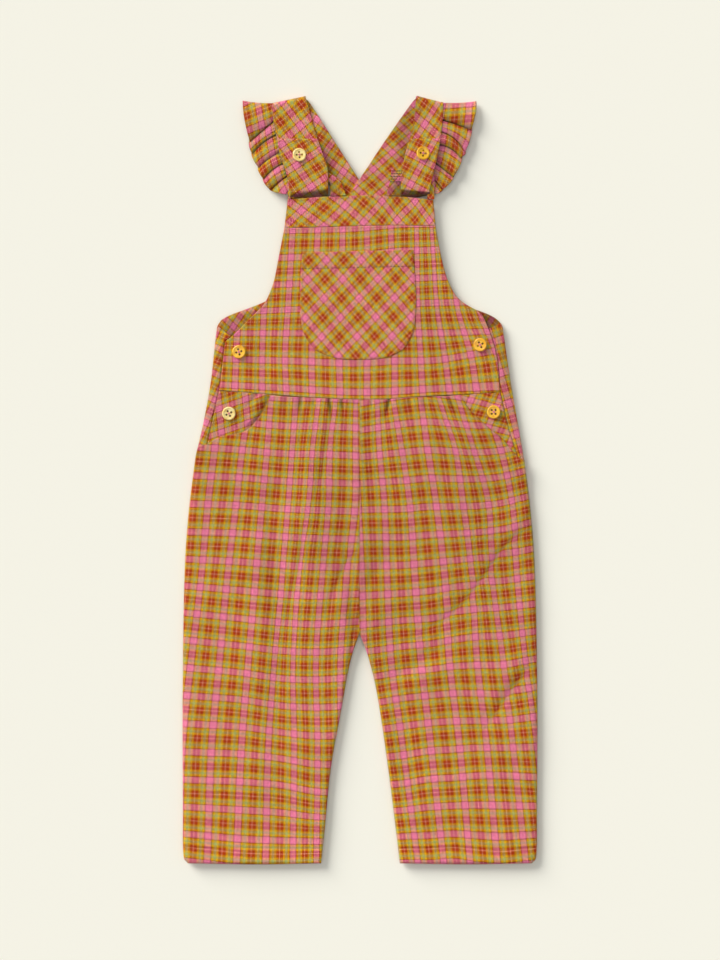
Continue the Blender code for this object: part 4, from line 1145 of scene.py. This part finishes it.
def make_front_legs(cloth):
    """The front legs, gathered to the waist seam."""
    half = SEAM_GAP / 2
    waist = moved(WAIST_FRONT, 0.0, -half)
    outer_left = side_from(SIDE_LEFT, 30.0)
    outer_right = side_from(SIDE_RIGHT, 19.0)
    inner_left = moved((CENTRE_TOP, *INSEAM_LEFT[1:]), -half, -half)
    inner_right = moved((CENTRE_TOP, *INSEAM_RIGHT[1:]), half, -half)
    top_left = (outer_left[0], *OPENING_LEFT, OPENING_LEFT[-1], *waist[3:5], inner_left[0])
    top_right = (inner_right[0], *waist[5:7], OPENING_RIGHT[0], *OPENING_RIGHT, outer_right[0])
    panels = {}
    for name, left, right, top, opening, folds, creases, grain, shift in (
        ("front_leg_left", outer_left, inner_left, top_left, Edge(OPENING_LEFT),
         LEFT_LEG_FOLDS, LEFT_LEG_CREASES, LEFT_LEG_GRAIN, 0.7),
        ("front_leg_right", inner_right, outer_right, top_right, Edge(OPENING_RIGHT),
         RIGHT_LEG_FOLDS, RIGHT_LEG_CREASES, RIGHT_LEG_GRAIN, 2.9),
    ):
        outer, inner = (left, right) if left is outer_left else (right, left)
        seams = (Edge(outer), Edge(inner[:3]), Edge(inner[3:]), Edge(waist))

        def check(x, y, grain=grain, creases=creases):
            pull_x, pull_y = creased(x, y, creases)[1:]
            return grain_check(grain, x + pull_x, y + pull_y)

        level = leg_level(seams, opening, folds, creases, shift)
        hem = (left[-1], ((left[-1][0] + right[-1][0]) / 2, HEM_Y - 1.0), right[-1])
        panel = Panel(left, right, level, check, top, hem, (opening, seams[-1]), 1.3)
        panels[name] = panel.build(name, 150, 230, cloth, FRONT_PATCHES, folds, creases)
    return panels


def band_check(x, y):
    """The band's check, which lies across the band and bunches up to the right."""
    places, counts, heights = (np.array(part) for part in zip(*BAND_MARKS))
    across = eased(x, places, counts)
    down = (eased(x, places, heights) - y) / BAND_ROW
    return (across + down) / 2, (across - down) / 2


def make_bodice(cloth, bias_cloth):
    """The bib with the front bodice, its band and its pocket."""
    half = SEAM_GAP / 2
    seam_low = moved(BAND_SEAM, 0.0, -half)
    seam_high = moved(BAND_SEAM, 0.0, half)
    waist = moved(WAIST_FRONT, 0.0, half)
    left = (seam_low[0], *BIB_SIDE_LEFT[1:-1], waist[0])
    right = (seam_low[-1], *BIB_SIDE_RIGHT[1:-1], waist[-1])
    edges = [Edge(points) for points in (left, right, waist, seam_low)]
    reaches, dips = (1.0, 1.0, 0.9, 0.8), (SEAM_DIP, SEAM_DIP, SEAM_DIP, 0.35)
    level = bodice_level(tuple(zip(edges, reaches, dips)), BIB_FOLDS, 1.1)
    bib = Panel(left, right, level, partial(grain_check, BIB_GRAIN), seam_low, waist, edges, 1.3)

    left = (BIB_TOP[0], seam_high[0])
    right = (BIB_TOP[-1], seam_high[-1])
    edges = [Edge(points) for points in (BIB_TOP, left, right, seam_high)]
    reaches, dips = (1.0, 1.0, 1.0, 0.7), (SEAM_DIP, SEAM_DIP, SEAM_DIP, 0.15)
    level = bodice_level(tuple(zip(edges, reaches, dips)), (), 2.0)
    band = Panel(left, right, level, band_check, BIB_TOP, seam_high, edges, 1.4)

    sides = [Edge(points) for points in (POCKET_LEFT, POCKET_RIGHT, POCKET_TOP, POCKET_BOTTOM)]

    def pocket_level(x, y, u):
        gaps = [side.gap(x, y) for side in sides]
        mouth = 0.30 * np.exp(-(gaps[2] - MOUTH_TURN) ** 2)
        edge = 0.30 * rolled(np.minimum.reduce(gaps), 1.2)
        return front_level(x, y) + POCKET_RISE + edge - mouth + 0.3 * sway(x, y, 0.2)

    pocket = Panel(
        POCKET_LEFT, POCKET_RIGHT, pocket_level, partial(laid_check, POCKET_LAY),
        POCKET_TOP, POCKET_BOTTOM, sides, 1.2)
    return {
        "bib_front": bib.build("bib_front", 150, 100, cloth, BODICE_PATCHES),
        "bib_band": band.build("bib_band", 110, 26, bias_cloth),
        "chest_pocket": pocket.build("chest_pocket", 84, 84, bias_cloth),
    }


# ------------------------------------------------------------ straps, frills
TURN_STEPS = 8
STRAP_SPACING = 1.3      # from one row of its points to the next
STRAP_COLUMNS = 22
STRAP_INSET = 2          # its rows of stitches run this many columns in


def half_turn(outer, inner, heading):
    """Stations that carry a band round, from its low edge to its high one."""
    along = (inner[0] - outer[0]).normalized()
    bulge = Vector((-along.y, along.x, 0.0)).normalized()
    if bulge.y * heading < 0.0:
        bulge = -bulge
    radius = (outer[1].z - outer[0].z) / 2
    stations = []
    for step in range(TURN_STEPS + 1):
        angle = -math.pi / 2 + math.pi * step / TURN_STEPS
        climb = (1.0 + math.sin(angle)) / 2
        shift = bulge * (radius * math.cos(angle))
        stations.append((outer[0].lerp(outer[1], climb) + shift, inner[0].lerp(inner[1], climb) + shift))
    return stations


def soft_step(value, start, end):
    return float(ramp(np.float64(value), start, end))


def strap_stations(strap):
    """Edges of a strap from its end on the back to its returned end.

    Also gives the middle station of each of its two turns.
    """
    stations = []
    for y, inner, wide in strap.back_run:
        mid = STRAP_BACK_MID + 1.6 * (1.0 - soft_step(y, 184.0, 205.0))
        stations.append((Vector((inner + strap.side * wide, y, mid)), Vector((inner, y, mid))))

    def front_station(row, mid):
        return Vector((row.outer_x, row.outer_y, mid)), Vector((row.inner_x, row.inner_y, mid))

    turns = [len(stations) + TURN_STEPS // 2]
    low, high = (front_station(strap.front_run[0], mid) for mid in (STRAP_BACK_MID, STRAP_FRONT_MID))
    stations += half_turn(*zip(low, high), 1.0)
    for row in strap.front_run[1:]:
        mid = STRAP_TAB_MID + (STRAP_FRONT_MID - STRAP_TAB_MID) * soft_step(row.outer_y, 286.0, 312.0)
        stations.append(front_station(row, mid))
    turns.append(len(stations) + TURN_STEPS // 2)
    turn = strap.turn
    stations += half_turn(
        (Vector((turn.outer_x, turn.outer_low, STRAP_TAB_MID)),
         Vector((turn.outer_x, turn.outer_high, STRAP_RETURN_MID))),
        (Vector((turn.inner_x, turn.inner_low, STRAP_TAB_MID)),
         Vector((turn.inner_x, turn.inner_high, STRAP_RETURN_MID))), -1.0)
    stations += [front_station(row, STRAP_RETURN_MID) for row in reversed(strap.front_run[2:])]
    return stations, turns


def ribbon_rows(stations, spacing, turns):
    """Evenly spaced rows along a band's two edges, as smooth curves.

    Also gives how far along the band each turn's middle lies.
    """
    steps = 10
    outer = smooth_run([tuple(station[0]) for station in stations], steps)
    inner = smooth_run([tuple(station[1]) for station in stations], steps)
    sizes = np.linalg.norm(np.diff((outer + inner) / 2, axis=0), axis=1)
    lengths = np.concatenate([[0.0], np.cumsum(sizes)])
    count = int(lengths[-1] / spacing)
    wanted = np.linspace(0.0, lengths[-1], count + 1)
    rows = []
    for edge in (outer, inner):
        rows.append(np.stack([np.interp(wanted, lengths, column) for column in edge.T], axis=-1))
    return rows[0], rows[1], wanted, [lengths[turn * steps] for turn in turns]


def strap_rise(x, y):
    """How far the right strap climbs over the left one where they cross."""
    reach_x, reach_y = STRAP_CROSSING_REACH
    away = np.abs(x - STRAP_CROSSING[0]) / reach_x + np.abs(y - STRAP_CROSSING[1]) / reach_y
    return STRAP_CROSS_RISE * (1.0 - ramp(away, 1.25, 2.4))


def strap_check(lays, x, y, along, ends):
    first, second = laid_check(lays[0], x, y)
    for lay, start in zip(lays[1:], ends):
        after = along > start
        u, v = laid_check(lay, x, y)
        first, second = np.where(after, u, first), np.where(after, v, second)
    return first, second


def make_strap(name, strap, cloth):
    """A bias band over the shoulder, with the lines along which it is sewn."""
    stations, turns = strap_stations(strap)
    outer, inner, along, ends = ribbon_rows(stations, STRAP_SPACING, turns)
    share = crowded(STRAP_COLUMNS, 0.5)
    points = outer[:, None, :] * (1.0 - share)[None, :, None] + inner[:, None, :] * share[None, :, None]
    x, y, z = points[..., 0], points[..., 1], points[..., 2]
    length = np.broadcast_to(along[:, None], x.shape)

    # Behind, it rises off the surface, and the right one climbs over the left.
    span = strap.rise * ramp(y, 262.0, 290.0) * (1.0 - ramp(y, 326.0, 348.0)) * (0.35 + 0.65 * share)
    rise = STRAP_BACK_MID + span + (strap_rise(x, y) if strap.side > 0.0 else 0.0)
    points[..., 2] = np.where(length < ends[0], np.maximum(z, rise), z)

    width = np.linalg.norm(outer - inner, axis=1)
    edge_gap = (0.5 - np.abs(share - 0.5))[None, :] * width[:, None]
    rubbed = 1.0 - ramp(edge_gap, WEAR_START, 1.6)
    # Painted shade darkens the strap where it turns under the band, and in its patches.
    turned = ramp(length, ends[1] - 16.0, ends[1] - 5.0) * (1.0 - ramp(length, ends[1] + 2.8, ends[1] + 5.4))
    nap_and_painted_shading = np.where(length < ends[1], patched(x, y, strap.patches), 0.0) - TURN_SHADE * turned
    check = np.stack(strap_check(strap.lays, x, y, length, ends), axis=-1)

    lifted = points + np.array([0.0, 0.0, STRAP_CLOTH / 2 + 0.03])
    ahead = (along > ends[0] + 5.0) & (y.mean(axis=1) > 317.0)
    returned = (along > ends[1] + 7.0) & (along < along[-1] - 1.5)
    columns = (STRAP_INSET, -1 - STRAP_INSET)
    seams = [lifted[rows][:, column] for rows in (ahead, returned) for column in columns]
    seams.append(lifted[np.flatnonzero(returned)[-1], STRAP_INSET:-STRAP_INSET])

    grids = [points, check, rubbed, nap_and_painted_shading]
    if strap.side > 0.0:
        grids = [grid[:, ::-1] for grid in grids]
    piece = grid_mesh(name, *grids, cloth)
    thicken(piece, STRAP_CLOTH, 0.0)
    return piece, seams


# One fold of a frill in profile: how far down the frill it has come as a
# share of the fold, how much of that is pushed on past or held back at the
# loose edge, its height from foot to crest, and how far its edge swings out.
FoldStep = namedtuple("FoldStep", "along lap height swing")
FOLD_PROFILE = (
    FoldStep(0.0, -0.10, 0.05, 0.15), FoldStep(0.12, 0.0, 0.45, 0.75), FoldStep(0.30, 0.02, 0.80, 1.0),
    FoldStep(0.50, 0.02, 0.98, 1.0), FoldStep(0.74, 0.04, 1.0, 0.75), FoldStep(0.90, 0.09, 0.84, 0.35),
    FoldStep(0.97, 0.13, 0.48, 0.10), FoldStep(1.0, 0.0, 0.08, 0.0),
)
FRILL_CRESTS = (0.9, 0.72, 0.76, 0.80, 0.80, 0.7)
FRILL_SWING = 1.9
FRILL_WIDE = 27.0
FRILL_COLUMNS = 35
FRILL_MIDDLE = 22        # the column along which the check's rows are spaced
PUCKERS = 27.0           # turns of the puckers' wave at the seam, in each fold
PUCKER_REACH = 0.14      # share of the frill's width


def frill_surface(frill):
    """A gathered strip: each fold climbs to a crest that laps over the next."""
    feet = np.array(frill.feet)
    side, rise, shift = frill.side, frill.rise, frill.shift
    share = np.linspace(0.0, 1.0, FRILL_COLUMNS)
    flare = share ** 0.7
    bend = 4.0 * share * (1.0 - share)
    steps = [[index + step.along, step.lap, step.height * FRILL_CRESTS[index], step.swing]
             for index in range(len(feet) - 1) for step in FOLD_PROFILE]
    steps.append([len(feet) - 1.0, 0.0, 0.0, 0.0])
    run = smooth_run(steps, 5)
    points = []
    for along, lap, height, swing in run:
        place = np.clip(along + lap * flare, 0.0, len(feet) - 1.0)
        index = np.minimum(place.astype(int), len(feet) - 2)
        turn = (place - index)[:, None]
        foot = feet[index] * (1.0 - turn) + feet[index + 1] * turn
        seam, loose, bow = foot[:, :2], foot[:, 2:4], foot[:, 4]
        out = (loose - seam) / np.linalg.norm(loose - seam, axis=1)[:, None]
        up = side * np.column_stack([-out[:, 1], out[:, 0]])
        row = seam * (1.0 - share[:, None]) + loose * share[:, None]
        row = row + out * (FRILL_SWING * swing * share ** 2)[:, None] + up * (bow * bend)[:, None]
        low = FRILL_SEAM_MID * (1.0 - flare) + rise.low * flare
        climb = (rise.high - rise.low) * flare + 0.25 * (1.0 - flare)
        ripple = 0.16 * np.sin(share * 6.0 + along * 2.3 + shift) * flare
        pucker = 0.28 * np.sin(along * PUCKERS + shift) * np.exp(-share / PUCKER_REACH)
        points.append(np.column_stack([row, low + climb * height + ripple + pucker]))
    points = np.array(points)
    place = run[:, :1]
    return points, frill_check(frill, points, place), frill_painted_shade(place, share, len(feet), shift)


def frill_painted_shade(place, share, feet, shift):
    """Painted shade, darker at the foot of each fold and in the puckers at the seam."""
    away = np.abs(place - np.round(place))
    before = np.maximum(np.ceil(place) - place, 0.0)
    line = 0.66 * np.exp(-(away / 0.08) ** 2) + 0.30 * np.exp(-(before / 0.30) ** 2) * (before > 0.0)
    inner_fold = (place > 0.5) & (place < feet - 1.5)
    tucks = 0.30 * np.exp(-share / PUCKER_REACH) * (0.5 + 0.5 * np.sin(place * PUCKERS + shift))
    return -line * inner_fold * (1.0 - 0.30 * share) - tucks


def frill_check(frill, points, place):
    """The check, as laid on the first fold and by the cloth's length after."""
    travel = np.linalg.norm(np.diff(points[:, FRILL_MIDDLE], axis=0), axis=1)
    down = np.concatenate([[0.0], np.cumsum(travel)])[:, None] / REPEAT
    reach = np.linalg.norm(np.diff(points, axis=1), axis=2).cumsum(axis=1) / REPEAT
    reach = np.concatenate([np.zeros((len(points), 1)), reach], axis=1)
    first, second = laid_check(frill.lay, points[..., 0], points[..., 1])
    later = 1.0 - ramp(place, 1.0, 1.02)
    u = first * later + (frill.side * reach + frill.shift) * (1.0 - later)
    v = second * later + (down + 0.37) * (1.0 - later)
    return np.stack([u, v], axis=-1)


def make_frill(name, frill, cloth):
    """A frill, worn along its loose edge."""
    points, check, nap_and_painted_shading = frill_surface(frill)
    gap = np.linspace(FRILL_WIDE, 0.0, points.shape[1])
    rubbed = np.broadcast_to(1.0 - ramp(gap, WEAR_START, WEAR_REACH), points.shape[:2])
    grids = [points, check, rubbed, nap_and_painted_shading]
    if frill.side < 0.0:
        grids = [grid[:, ::-1] for grid in grids]
    piece = grid_mesh(name, *grids, cloth)
    thicken(piece, FRILL_CLOTH, 0.0)
    return piece


def make_tab(name, corners, lay, cloth):
    """An upturned U above the band, which the strap's end passes through."""
    foot = Edge(BIB_TOP).samples
    outline = [
        (x, float(np.interp(x, foot[:, 0], foot[:, 1])) + 0.3 if y is ON_BAND else y)
        for x, y in corners
    ]
    curve = bpy.data.curves.new(name, "CURVE")
    curve.dimensions = "2D"
    curve.fill_mode = "BOTH"
    curve.extrude = (TAB_CLOTH / 2 - TAB_ROUND) * MM
    curve.bevel_depth = TAB_ROUND * MM
    curve.bevel_resolution = 2
    curve.offset = -TAB_ROUND * MM
    spline = curve.splines.new("POLY")
    spline.points.add(len(outline) - 1)
    for point, (x, y) in zip(spline.points, outline):
        point.co = (x * MM, y * MM, 0.0, 1.0)
    spline.use_cyclic_u = True
    mesh = baked(placed(name + "_outline", curve))
    shape = bmesh.new()
    shape.from_mesh(mesh)
    bmesh.ops.remove_doubles(shape, verts=shape.verts, dist=0.00001)
    bmesh.ops.recalc_face_normals(shape, faces=shape.faces)
    # Painted shade from the tab's patches darkens it beside the straps.
    shade = shape.verts.layers.float.new("nap_and_painted_shading")
    for vert in shape.verts:
        vert.co.z += TAB_MID * MM
        vert[shade] = float(patched(vert.co.x / MM, vert.co.y / MM, TAB_PATCHES))
    layer = shape.loops.layers.uv.new("check")
    for face in shape.faces:
        for loop in face.loops:
            loop[layer].uv = laid_check(lay, loop.vert.co.x / MM, loop.vert.co.y / MM)
    shape.to_mesh(mesh)
    shape.free()
    mesh.materials.clear()
    mesh.materials.append(cloth)
    return placed(name, mesh)


# ------------------------------------------------------------ stitches
def make_stitch_tree():
    """Instance one bead of thread along every guide line."""
    tree = bpy.data.node_groups.new("thread_stitches", "GeometryNodeTree")
    for label, way, kind in (
        ("Geometry", "INPUT", "Geometry"), ("Pitch", "INPUT", "Float"), ("Length", "INPUT", "Float"),
        ("Thickness", "INPUT", "Float"), ("Thread", "INPUT", "Material"), ("Geometry", "OUTPUT", "Geometry"),
    ):
        tree.interface.new_socket(label, in_out=way, socket_type="NodeSocket" + kind)
    given = node(tree, "NodeGroupInput").outputs
    guide = node(tree, "GeometryNodeMeshToCurve", {"Mesh": given["Geometry"]})
    spots = node(tree, "GeometryNodeCurveToPoints", mode="LENGTH")
    feed(tree, spots, {"Curve": guide.outputs["Curve"], "Length": given["Pitch"]})

    bead = node(tree, "GeometryNodeMeshUVSphere", {"Segments": 6, "Rings": 5, "Radius": 0.5})
    size = node(tree, "ShaderNodeCombineXYZ", {"X": given["Length"]})
    feed(tree, size, {"Y": given["Thickness"], "Z": given["Thickness"]})
    shaped = node(
        tree, "GeometryNodeTransform", {"Geometry": bead.outputs["Mesh"], "Scale": size.outputs[0]})
    smooth = node(tree, "GeometryNodeSetShadeSmooth", {"Geometry": shaped.outputs["Geometry"]})
    aim = node(tree, "FunctionNodeAlignRotationToVector", {"Vector": spots.outputs["Tangent"]}, axis="X")
    laid = node(tree, "GeometryNodeInstanceOnPoints", {
        "Points": spots.outputs["Points"], "Instance": smooth.outputs["Geometry"],
        "Rotation": aim.outputs["Rotation"],
    })
    real = node(tree, "GeometryNodeRealizeInstances", {"Geometry": laid.outputs["Instances"]})
    dyed = node(
        tree, "GeometryNodeSetMaterial", {"Geometry": real.outputs["Geometry"], "Material": given["Thread"]})
    node(tree, "NodeGroupOutput", {"Geometry": dyed.outputs["Geometry"]})
    return tree


def stitch(name, lines, tree, thread, pitch=3.0, length=2.3, thickness=0.36):
    """Sew along lines of points in mm, and keep the result as one mesh."""
    points, joints = [], []
    for line in lines:
        first = len(points)
        points.extend((np.asarray(line) * MM).tolist())
        joints.extend((first + i, first + i + 1) for i in range(len(line) - 1))
    mesh = bpy.data.meshes.new(name + "_guide")
    mesh.from_pydata(points, joints, [])
    guide = placed(name + "_guide", mesh)
    modifier = guide.modifiers.new("stitches", "NODES")
    modifier.node_group = tree
    wanted = {"Pitch": pitch * MM, "Length": length * MM, "Thickness": thickness * MM, "Thread": thread}
    for item in tree.interface.items_tree:
        if item.name in wanted:
            modifier[item.identifier] = wanted[item.name]
    sewn = baked(guide)
    sewn.name = name
    piece = placed(name, sewn)
    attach(piece, "root")
    return piece


LINE_POINTS = 120


def beside(panel, edge, inset, start=0.01, end=0.99, lift=0.06):
    """A line on a panel that keeps inset away from one of its edges."""
    share = np.linspace(start, end, LINE_POINTS)
    level = edge in ("top", "bottom")
    one, other = (panel.top, panel.bottom) if level else (panel.left, panel.right)
    reach = inset / np.linalg.norm(one.at(share) - other.at(share), axis=1)
    if edge in ("bottom", "right"):
        reach = 1.0 - reach
    points = panel.surface(share, reach) if level else panel.surface(reach, share)
    points[:, 2] += lift
    return points


# ------------------------------------------------------------ buttons
# A button's profile from its middle to its rim and back under: shares of its
# radius and of half its thickness.
BUTTON_PROFILE = (
    (0.0, 0.58), (0.50, 0.59), (0.64, 0.64), (0.72, 0.78), (0.79, 0.92), (0.86, 0.96),
    (0.93, 0.86), (0.98, 0.60), (1.0, 0.25), (0.985, -0.25), (0.93, -0.72), (0.82, -1.0), (0.0, -1.0),
)
HOLE_RADIUS = 0.95
HOLE_OUT = 2.45          # from the button's middle to a hole's
STRAND_RADIUS = 0.5
STRAND_OUT = 0.70
STRAND_TOP = 0.86
STRAND_APART = 0.2


def button_disc(name):
    """The drilled disc of a button."""
    points = [
        (share * BUTTON_DIAMETER / 2 * MM, 0.0, height * BUTTON_THICKNESS / 2 * MM)
        for share, height in BUTTON_PROFILE
    ]
    mesh = bpy.data.meshes.new(name)
    mesh.from_pydata(points, [(i, i + 1) for i in range(len(points) - 1)], [])
    disc = placed(name, mesh)
    turn = disc.modifiers.new("turn", "SCREW")
    turn.steps = turn.render_steps = 56
    turn.use_merge_vertices = True
    turn.merge_threshold = 0.00001
    drills = []
    for quarter in range(4):
        angle = math.pi / 4 + quarter * math.pi / 2
        bpy.ops.mesh.primitive_cylinder_add(vertices=20, radius=HOLE_RADIUS * MM, depth=8.0 * MM)
        drill = bpy.context.object
        drill.location = (math.cos(angle) * HOLE_OUT * MM, math.sin(angle) * HOLE_OUT * MM, 0.0)
        cut = disc.modifiers.new("hole", "BOOLEAN")
        cut.operation = "DIFFERENCE"
        cut.solver = "EXACT"
        cut.object = drill
        drills.append(drill)
    return baked(disc, *drills)


def dye(verts, material_index):
    """Give the faces round some points a material, and return those faces."""
    faces = {face for vert in verts for face in vert.link_faces}
    for face in faces:
        face.material_index = material_index
    return faces


def make_button(button, material, thread, hole_shade_material):
    """A turned disc with a raised rim, four holes and a cross of thread."""
    half = BUTTON_THICKNESS / 2
    shape = bmesh.new()
    shape.from_mesh(button_disc(button.node + "_disc"))
    bmesh.ops.remove_doubles(shape, verts=shape.verts, dist=0.000002)
    bmesh.ops.recalc_face_normals(shape, faces=shape.faces)
    for quarter in range(4):
        angle = math.pi / 4 + quarter * math.pi / 2
        along = Vector((math.cos(angle), math.sin(angle), 0.0))
        aside = Vector((-along.y, along.x, 0.0))
        # One pair of strands crosses over the other.
        top = STRAND_TOP + (0.12 if quarter % 2 else 0.0)
        for offset in (-STRAND_APART, STRAND_APART):
            made = bmesh.ops.create_uvsphere(shape, u_segments=8, v_segments=6, radius=STRAND_RADIUS * MM)
            for vert in made["verts"]:
                x, y, z = vert.co / MM
                droop = 0.35 * (x / STRAND_RADIUS) ** 2
                flat = along * (STRAND_OUT + 1.6 * x) + aside * (offset + 0.42 * y)
                vert.co = Vector((flat.x, flat.y, top + 0.42 * z - droop)) * MM
            for face in dye(made["verts"], 1):
                face.smooth = True
    # Behind the holes a dark disc in the brown thread's colour is painted shade inside the holes.
    hole_shade = bmesh.ops.create_circle(shape, cap_ends=True, segments=24, radius=3.6 * MM)
    for vert in hole_shade["verts"]:
        vert.co.z = -0.9 * half * MM
    dye(hole_shade["verts"], 2)
    lean_x, lean_y = (math.radians(value) for value in button.lean)
    turned = Euler((lean_y, lean_x, math.radians(button.turn))).to_matrix()
    middle = Vector((button.x, button.y, button.z + half)) * MM
    for vert in shape.verts:
        vert.co = turned @ vert.co + middle
    mesh = bpy.data.meshes.new(button.node + "_turned")
    shape.to_mesh(mesh)
    shape.free()
    for part in (material, thread, hole_shade_material):
        mesh.materials.append(part)
    mesh.shade_smooth()
    mesh.set_sharp_from_angle(angle=math.radians(38.0))
    settle(placed(button.node + "_turned", mesh), button.node)


# ------------------------------------------------------------ room and light
CAMERA_HEIGHT = 2.5
CAMERA_Y = 0.0005        # the photo's middle is half a pixel above y = 0
CLOTH_PLANE = 0.005      # the height at which the photo's scale is true
SENSOR_WIDE = 36.0
MILLIMETRES_PER_PIXEL = 0.92
PICTURE_TALL = 960
FLOOR_REACH = 4.0
FLOOR_Z = -0.0002

# Each light's share of the light on the floor, its tilt and its width in
# degrees. The window is to the upper left.
Light = namedtuple("Light", "name share tilt spread")
LIGHTS = (Light("window", 0.50, 65.0, 34.0), Light("ceiling", 0.23, 0.0, 50.0))
SKY_SHARE = 0.30


def make_camera():
    """Straight above, far enough away for almost no perspective."""
    lens = bpy.data.cameras.new("camera")
    lens.sensor_width = SENSOR_WIDE
    tall = PICTURE_TALL * MILLIMETRES_PER_PIXEL * MM
    lens.lens = SENSOR_WIDE * (CAMERA_HEIGHT - CLOTH_PLANE) / tall
    lens.clip_end = 20.0
    camera = placed("camera", lens)
    camera.location = (0.0, CAMERA_Y, CAMERA_HEIGHT)
    bpy.context.scene.camera = camera


def make_room():
    """A plain pale floor, soft light from the upper left and a pale sky."""
    mesh = bpy.data.meshes.new("floor")
    corners = ((-1, -1), (1, -1), (1, 1), (-1, 1))
    mesh.from_pydata([(x * FLOOR_REACH, y * FLOOR_REACH, FLOOR_Z) for x, y in corners], [], [(0, 1, 2, 3)])
    paper, tree, shader = new_material("pale_floor")
    feed(tree, shader, {"Base Color": paint(244, 242, 230), "Roughness": 0.9, "Specular IOR Level": 0.0})
    mesh.materials.append(paper)
    floor = placed("floor", mesh)

    world = bpy.data.worlds.new("soft_sky")
    world.use_nodes = True
    sky = world.node_tree.nodes["Background"]
    feed(world.node_tree, sky, {"Color": (0.93, 0.97, 1.0, 1.0), "Strength": SKY_SHARE})
    bpy.context.scene.world = world

    for name, share, tilt, spread in LIGHTS:
        slope = math.radians(tilt)
        lamp = bpy.data.lights.new(name, "SUN")
        lamp.angle = math.radians(spread)
        lamp.color = (1.0, 0.98, 0.95)
        lamp.energy = share * math.pi / math.cos(slope)
        aim = Vector((1.0, -1.0, 0.0)).normalized() * math.sin(slope)
        aim.z = -math.cos(slope)
        placed(name, lamp).rotation_euler = aim.to_track_quat("-Z", "Y").to_euler()
    bpy.context.scene.view_settings.view_transform = "Standard"


# ------------------------------------------------------------ sheets and stitches
# What would show of a sheet, cut flat: its sides in mm, its area in square
# centimetres, how it is held and what it lies on. No sheet is given such a
# record in this script.
Sheet = namedtuple("Sheet", "wide long area held rests_on")


# Rows of stitches: the piece, its edge, how far in, and from where to where.
Row = namedtuple("Row", "piece edge inset start end")
FRONT_ROWS = (
    Row("bib_band", "top", 2.2, 0.01, 0.99), Row("bib_front", "left", 3.0, 0.02, 0.72),
    Row("bib_front", "right", 3.0, 0.02, 0.72), Row("chest_pocket", "left", 1.8, 0.01, 0.99),
    Row("chest_pocket", "right", 1.8, 0.01, 0.99), Row("chest_pocket", "bottom", 1.8, 0.01, 0.99),
    Row("bib_front", "top", 1.6, 0.01, 0.99), Row("front_leg_left", "bottom", HEM_TURN, 0.03, 0.97),
    Row("front_leg_right", "bottom", HEM_TURN, 0.03, 0.97),
)
# The bars that close the right tab, and the tip of the left strap's buttonhole.
BAR_Y = 284.6
BAR_SPACING = 2.5
BAR_COUNT = 5
BAR_ENDS = (29.6, 33.5, 38.6)
BAR_WIDENING = 0.3
BUTTONHOLE_TIP = ((-54.3, 292.6, 10.0), (-53.1, 291.1, 10.0), (-51.9, 289.4, 10.0))


def sew(panels, strap_seams, brown_thread):
    """All the rows of stitches that show."""
    rust_thread = thread_material("rust_thread", paint(170, 84, 44))
    tree = make_stitch_tree()
    rows = [beside(panels[row.piece], *row[1:]) for row in FRONT_ROWS]
    stitch("front_stitches", rows, tree, rust_thread)
    mouth = beside(panels["chest_pocket"], "top", MOUTH_TURN, lift=0.2)
    stitch("mouth_stitches", [mouth], tree, brown_thread, 3.4, 2.5, 0.85)
    stitch("strap_stitches", strap_seams, tree, rust_thread, 2.6, 1.9, 0.34)
    start, middle, end = BAR_ENDS
    bars = [
        [(x, BAR_Y - BAR_SPACING * bar, TAB_MID + 0.75) for x in (start - BAR_WIDENING * bar, middle, end)]
        for bar in range(BAR_COUNT)
    ]
    stitch("bar_stitches", [*bars, BUTTONHOLE_TIP], tree, brown_thread, 2.1, 2.2, 0.95)


def main():
    make_camera()
    make_room()
    groups = (make_sett(), make_twill(), make_nap())
    cloth = cloth_material("checked_twill", *groups, 0.97)
    bias_cloth = cloth_material("checked_twill_bias", *groups, 0.98)
    inside_cloth = cloth_material("checked_twill_inside", *groups, 0.96)

    panels = {
        **make_back(cloth, inside_cloth), **make_plackets(cloth), **make_hip_panels(bias_cloth),
        **make_front_legs(cloth), **make_bodice(cloth, bias_cloth),
    }
    pieces = {name: panel.piece for name, panel in panels.items()}
    for name, corners, lay in (
        ("strap_tab_left", LEFT_TAB, TAB_LAYS[0]), ("strap_tab_right", RIGHT_TAB, TAB_LAYS[1]),
    ):
        pieces[name] = make_tab(name + "_cloth", corners, lay, bias_cloth)
    strap_seams = []
    for name, strap in STRAPS.items():
        pieces[name], seams = make_strap(name + "_cloth", strap, bias_cloth)
        strap_seams += seams
    for name, frill in FRILLS.items():
        pieces[name] = make_frill(name + "_cloth", frill, cloth)
    for name, piece in pieces.items():
        settle(piece, name)

    colourings = {
        "yellow": button_material("golden_button", paint(248, 196, 40), paint(226, 156, 8)),
        "pale": button_material("pale_button", paint(254, 238, 166), paint(238, 200, 100)),
    }
    pink_thread = thread_material("pink_thread", paint(236, 132, 160))
    brown_thread = thread_material("brown_thread", paint(84, 40, 26))
    for button in BUTTONS:
        make_button(button, colourings[button.finish], pink_thread, brown_thread)
    sew(panels, strap_seams, brown_thread)


main()
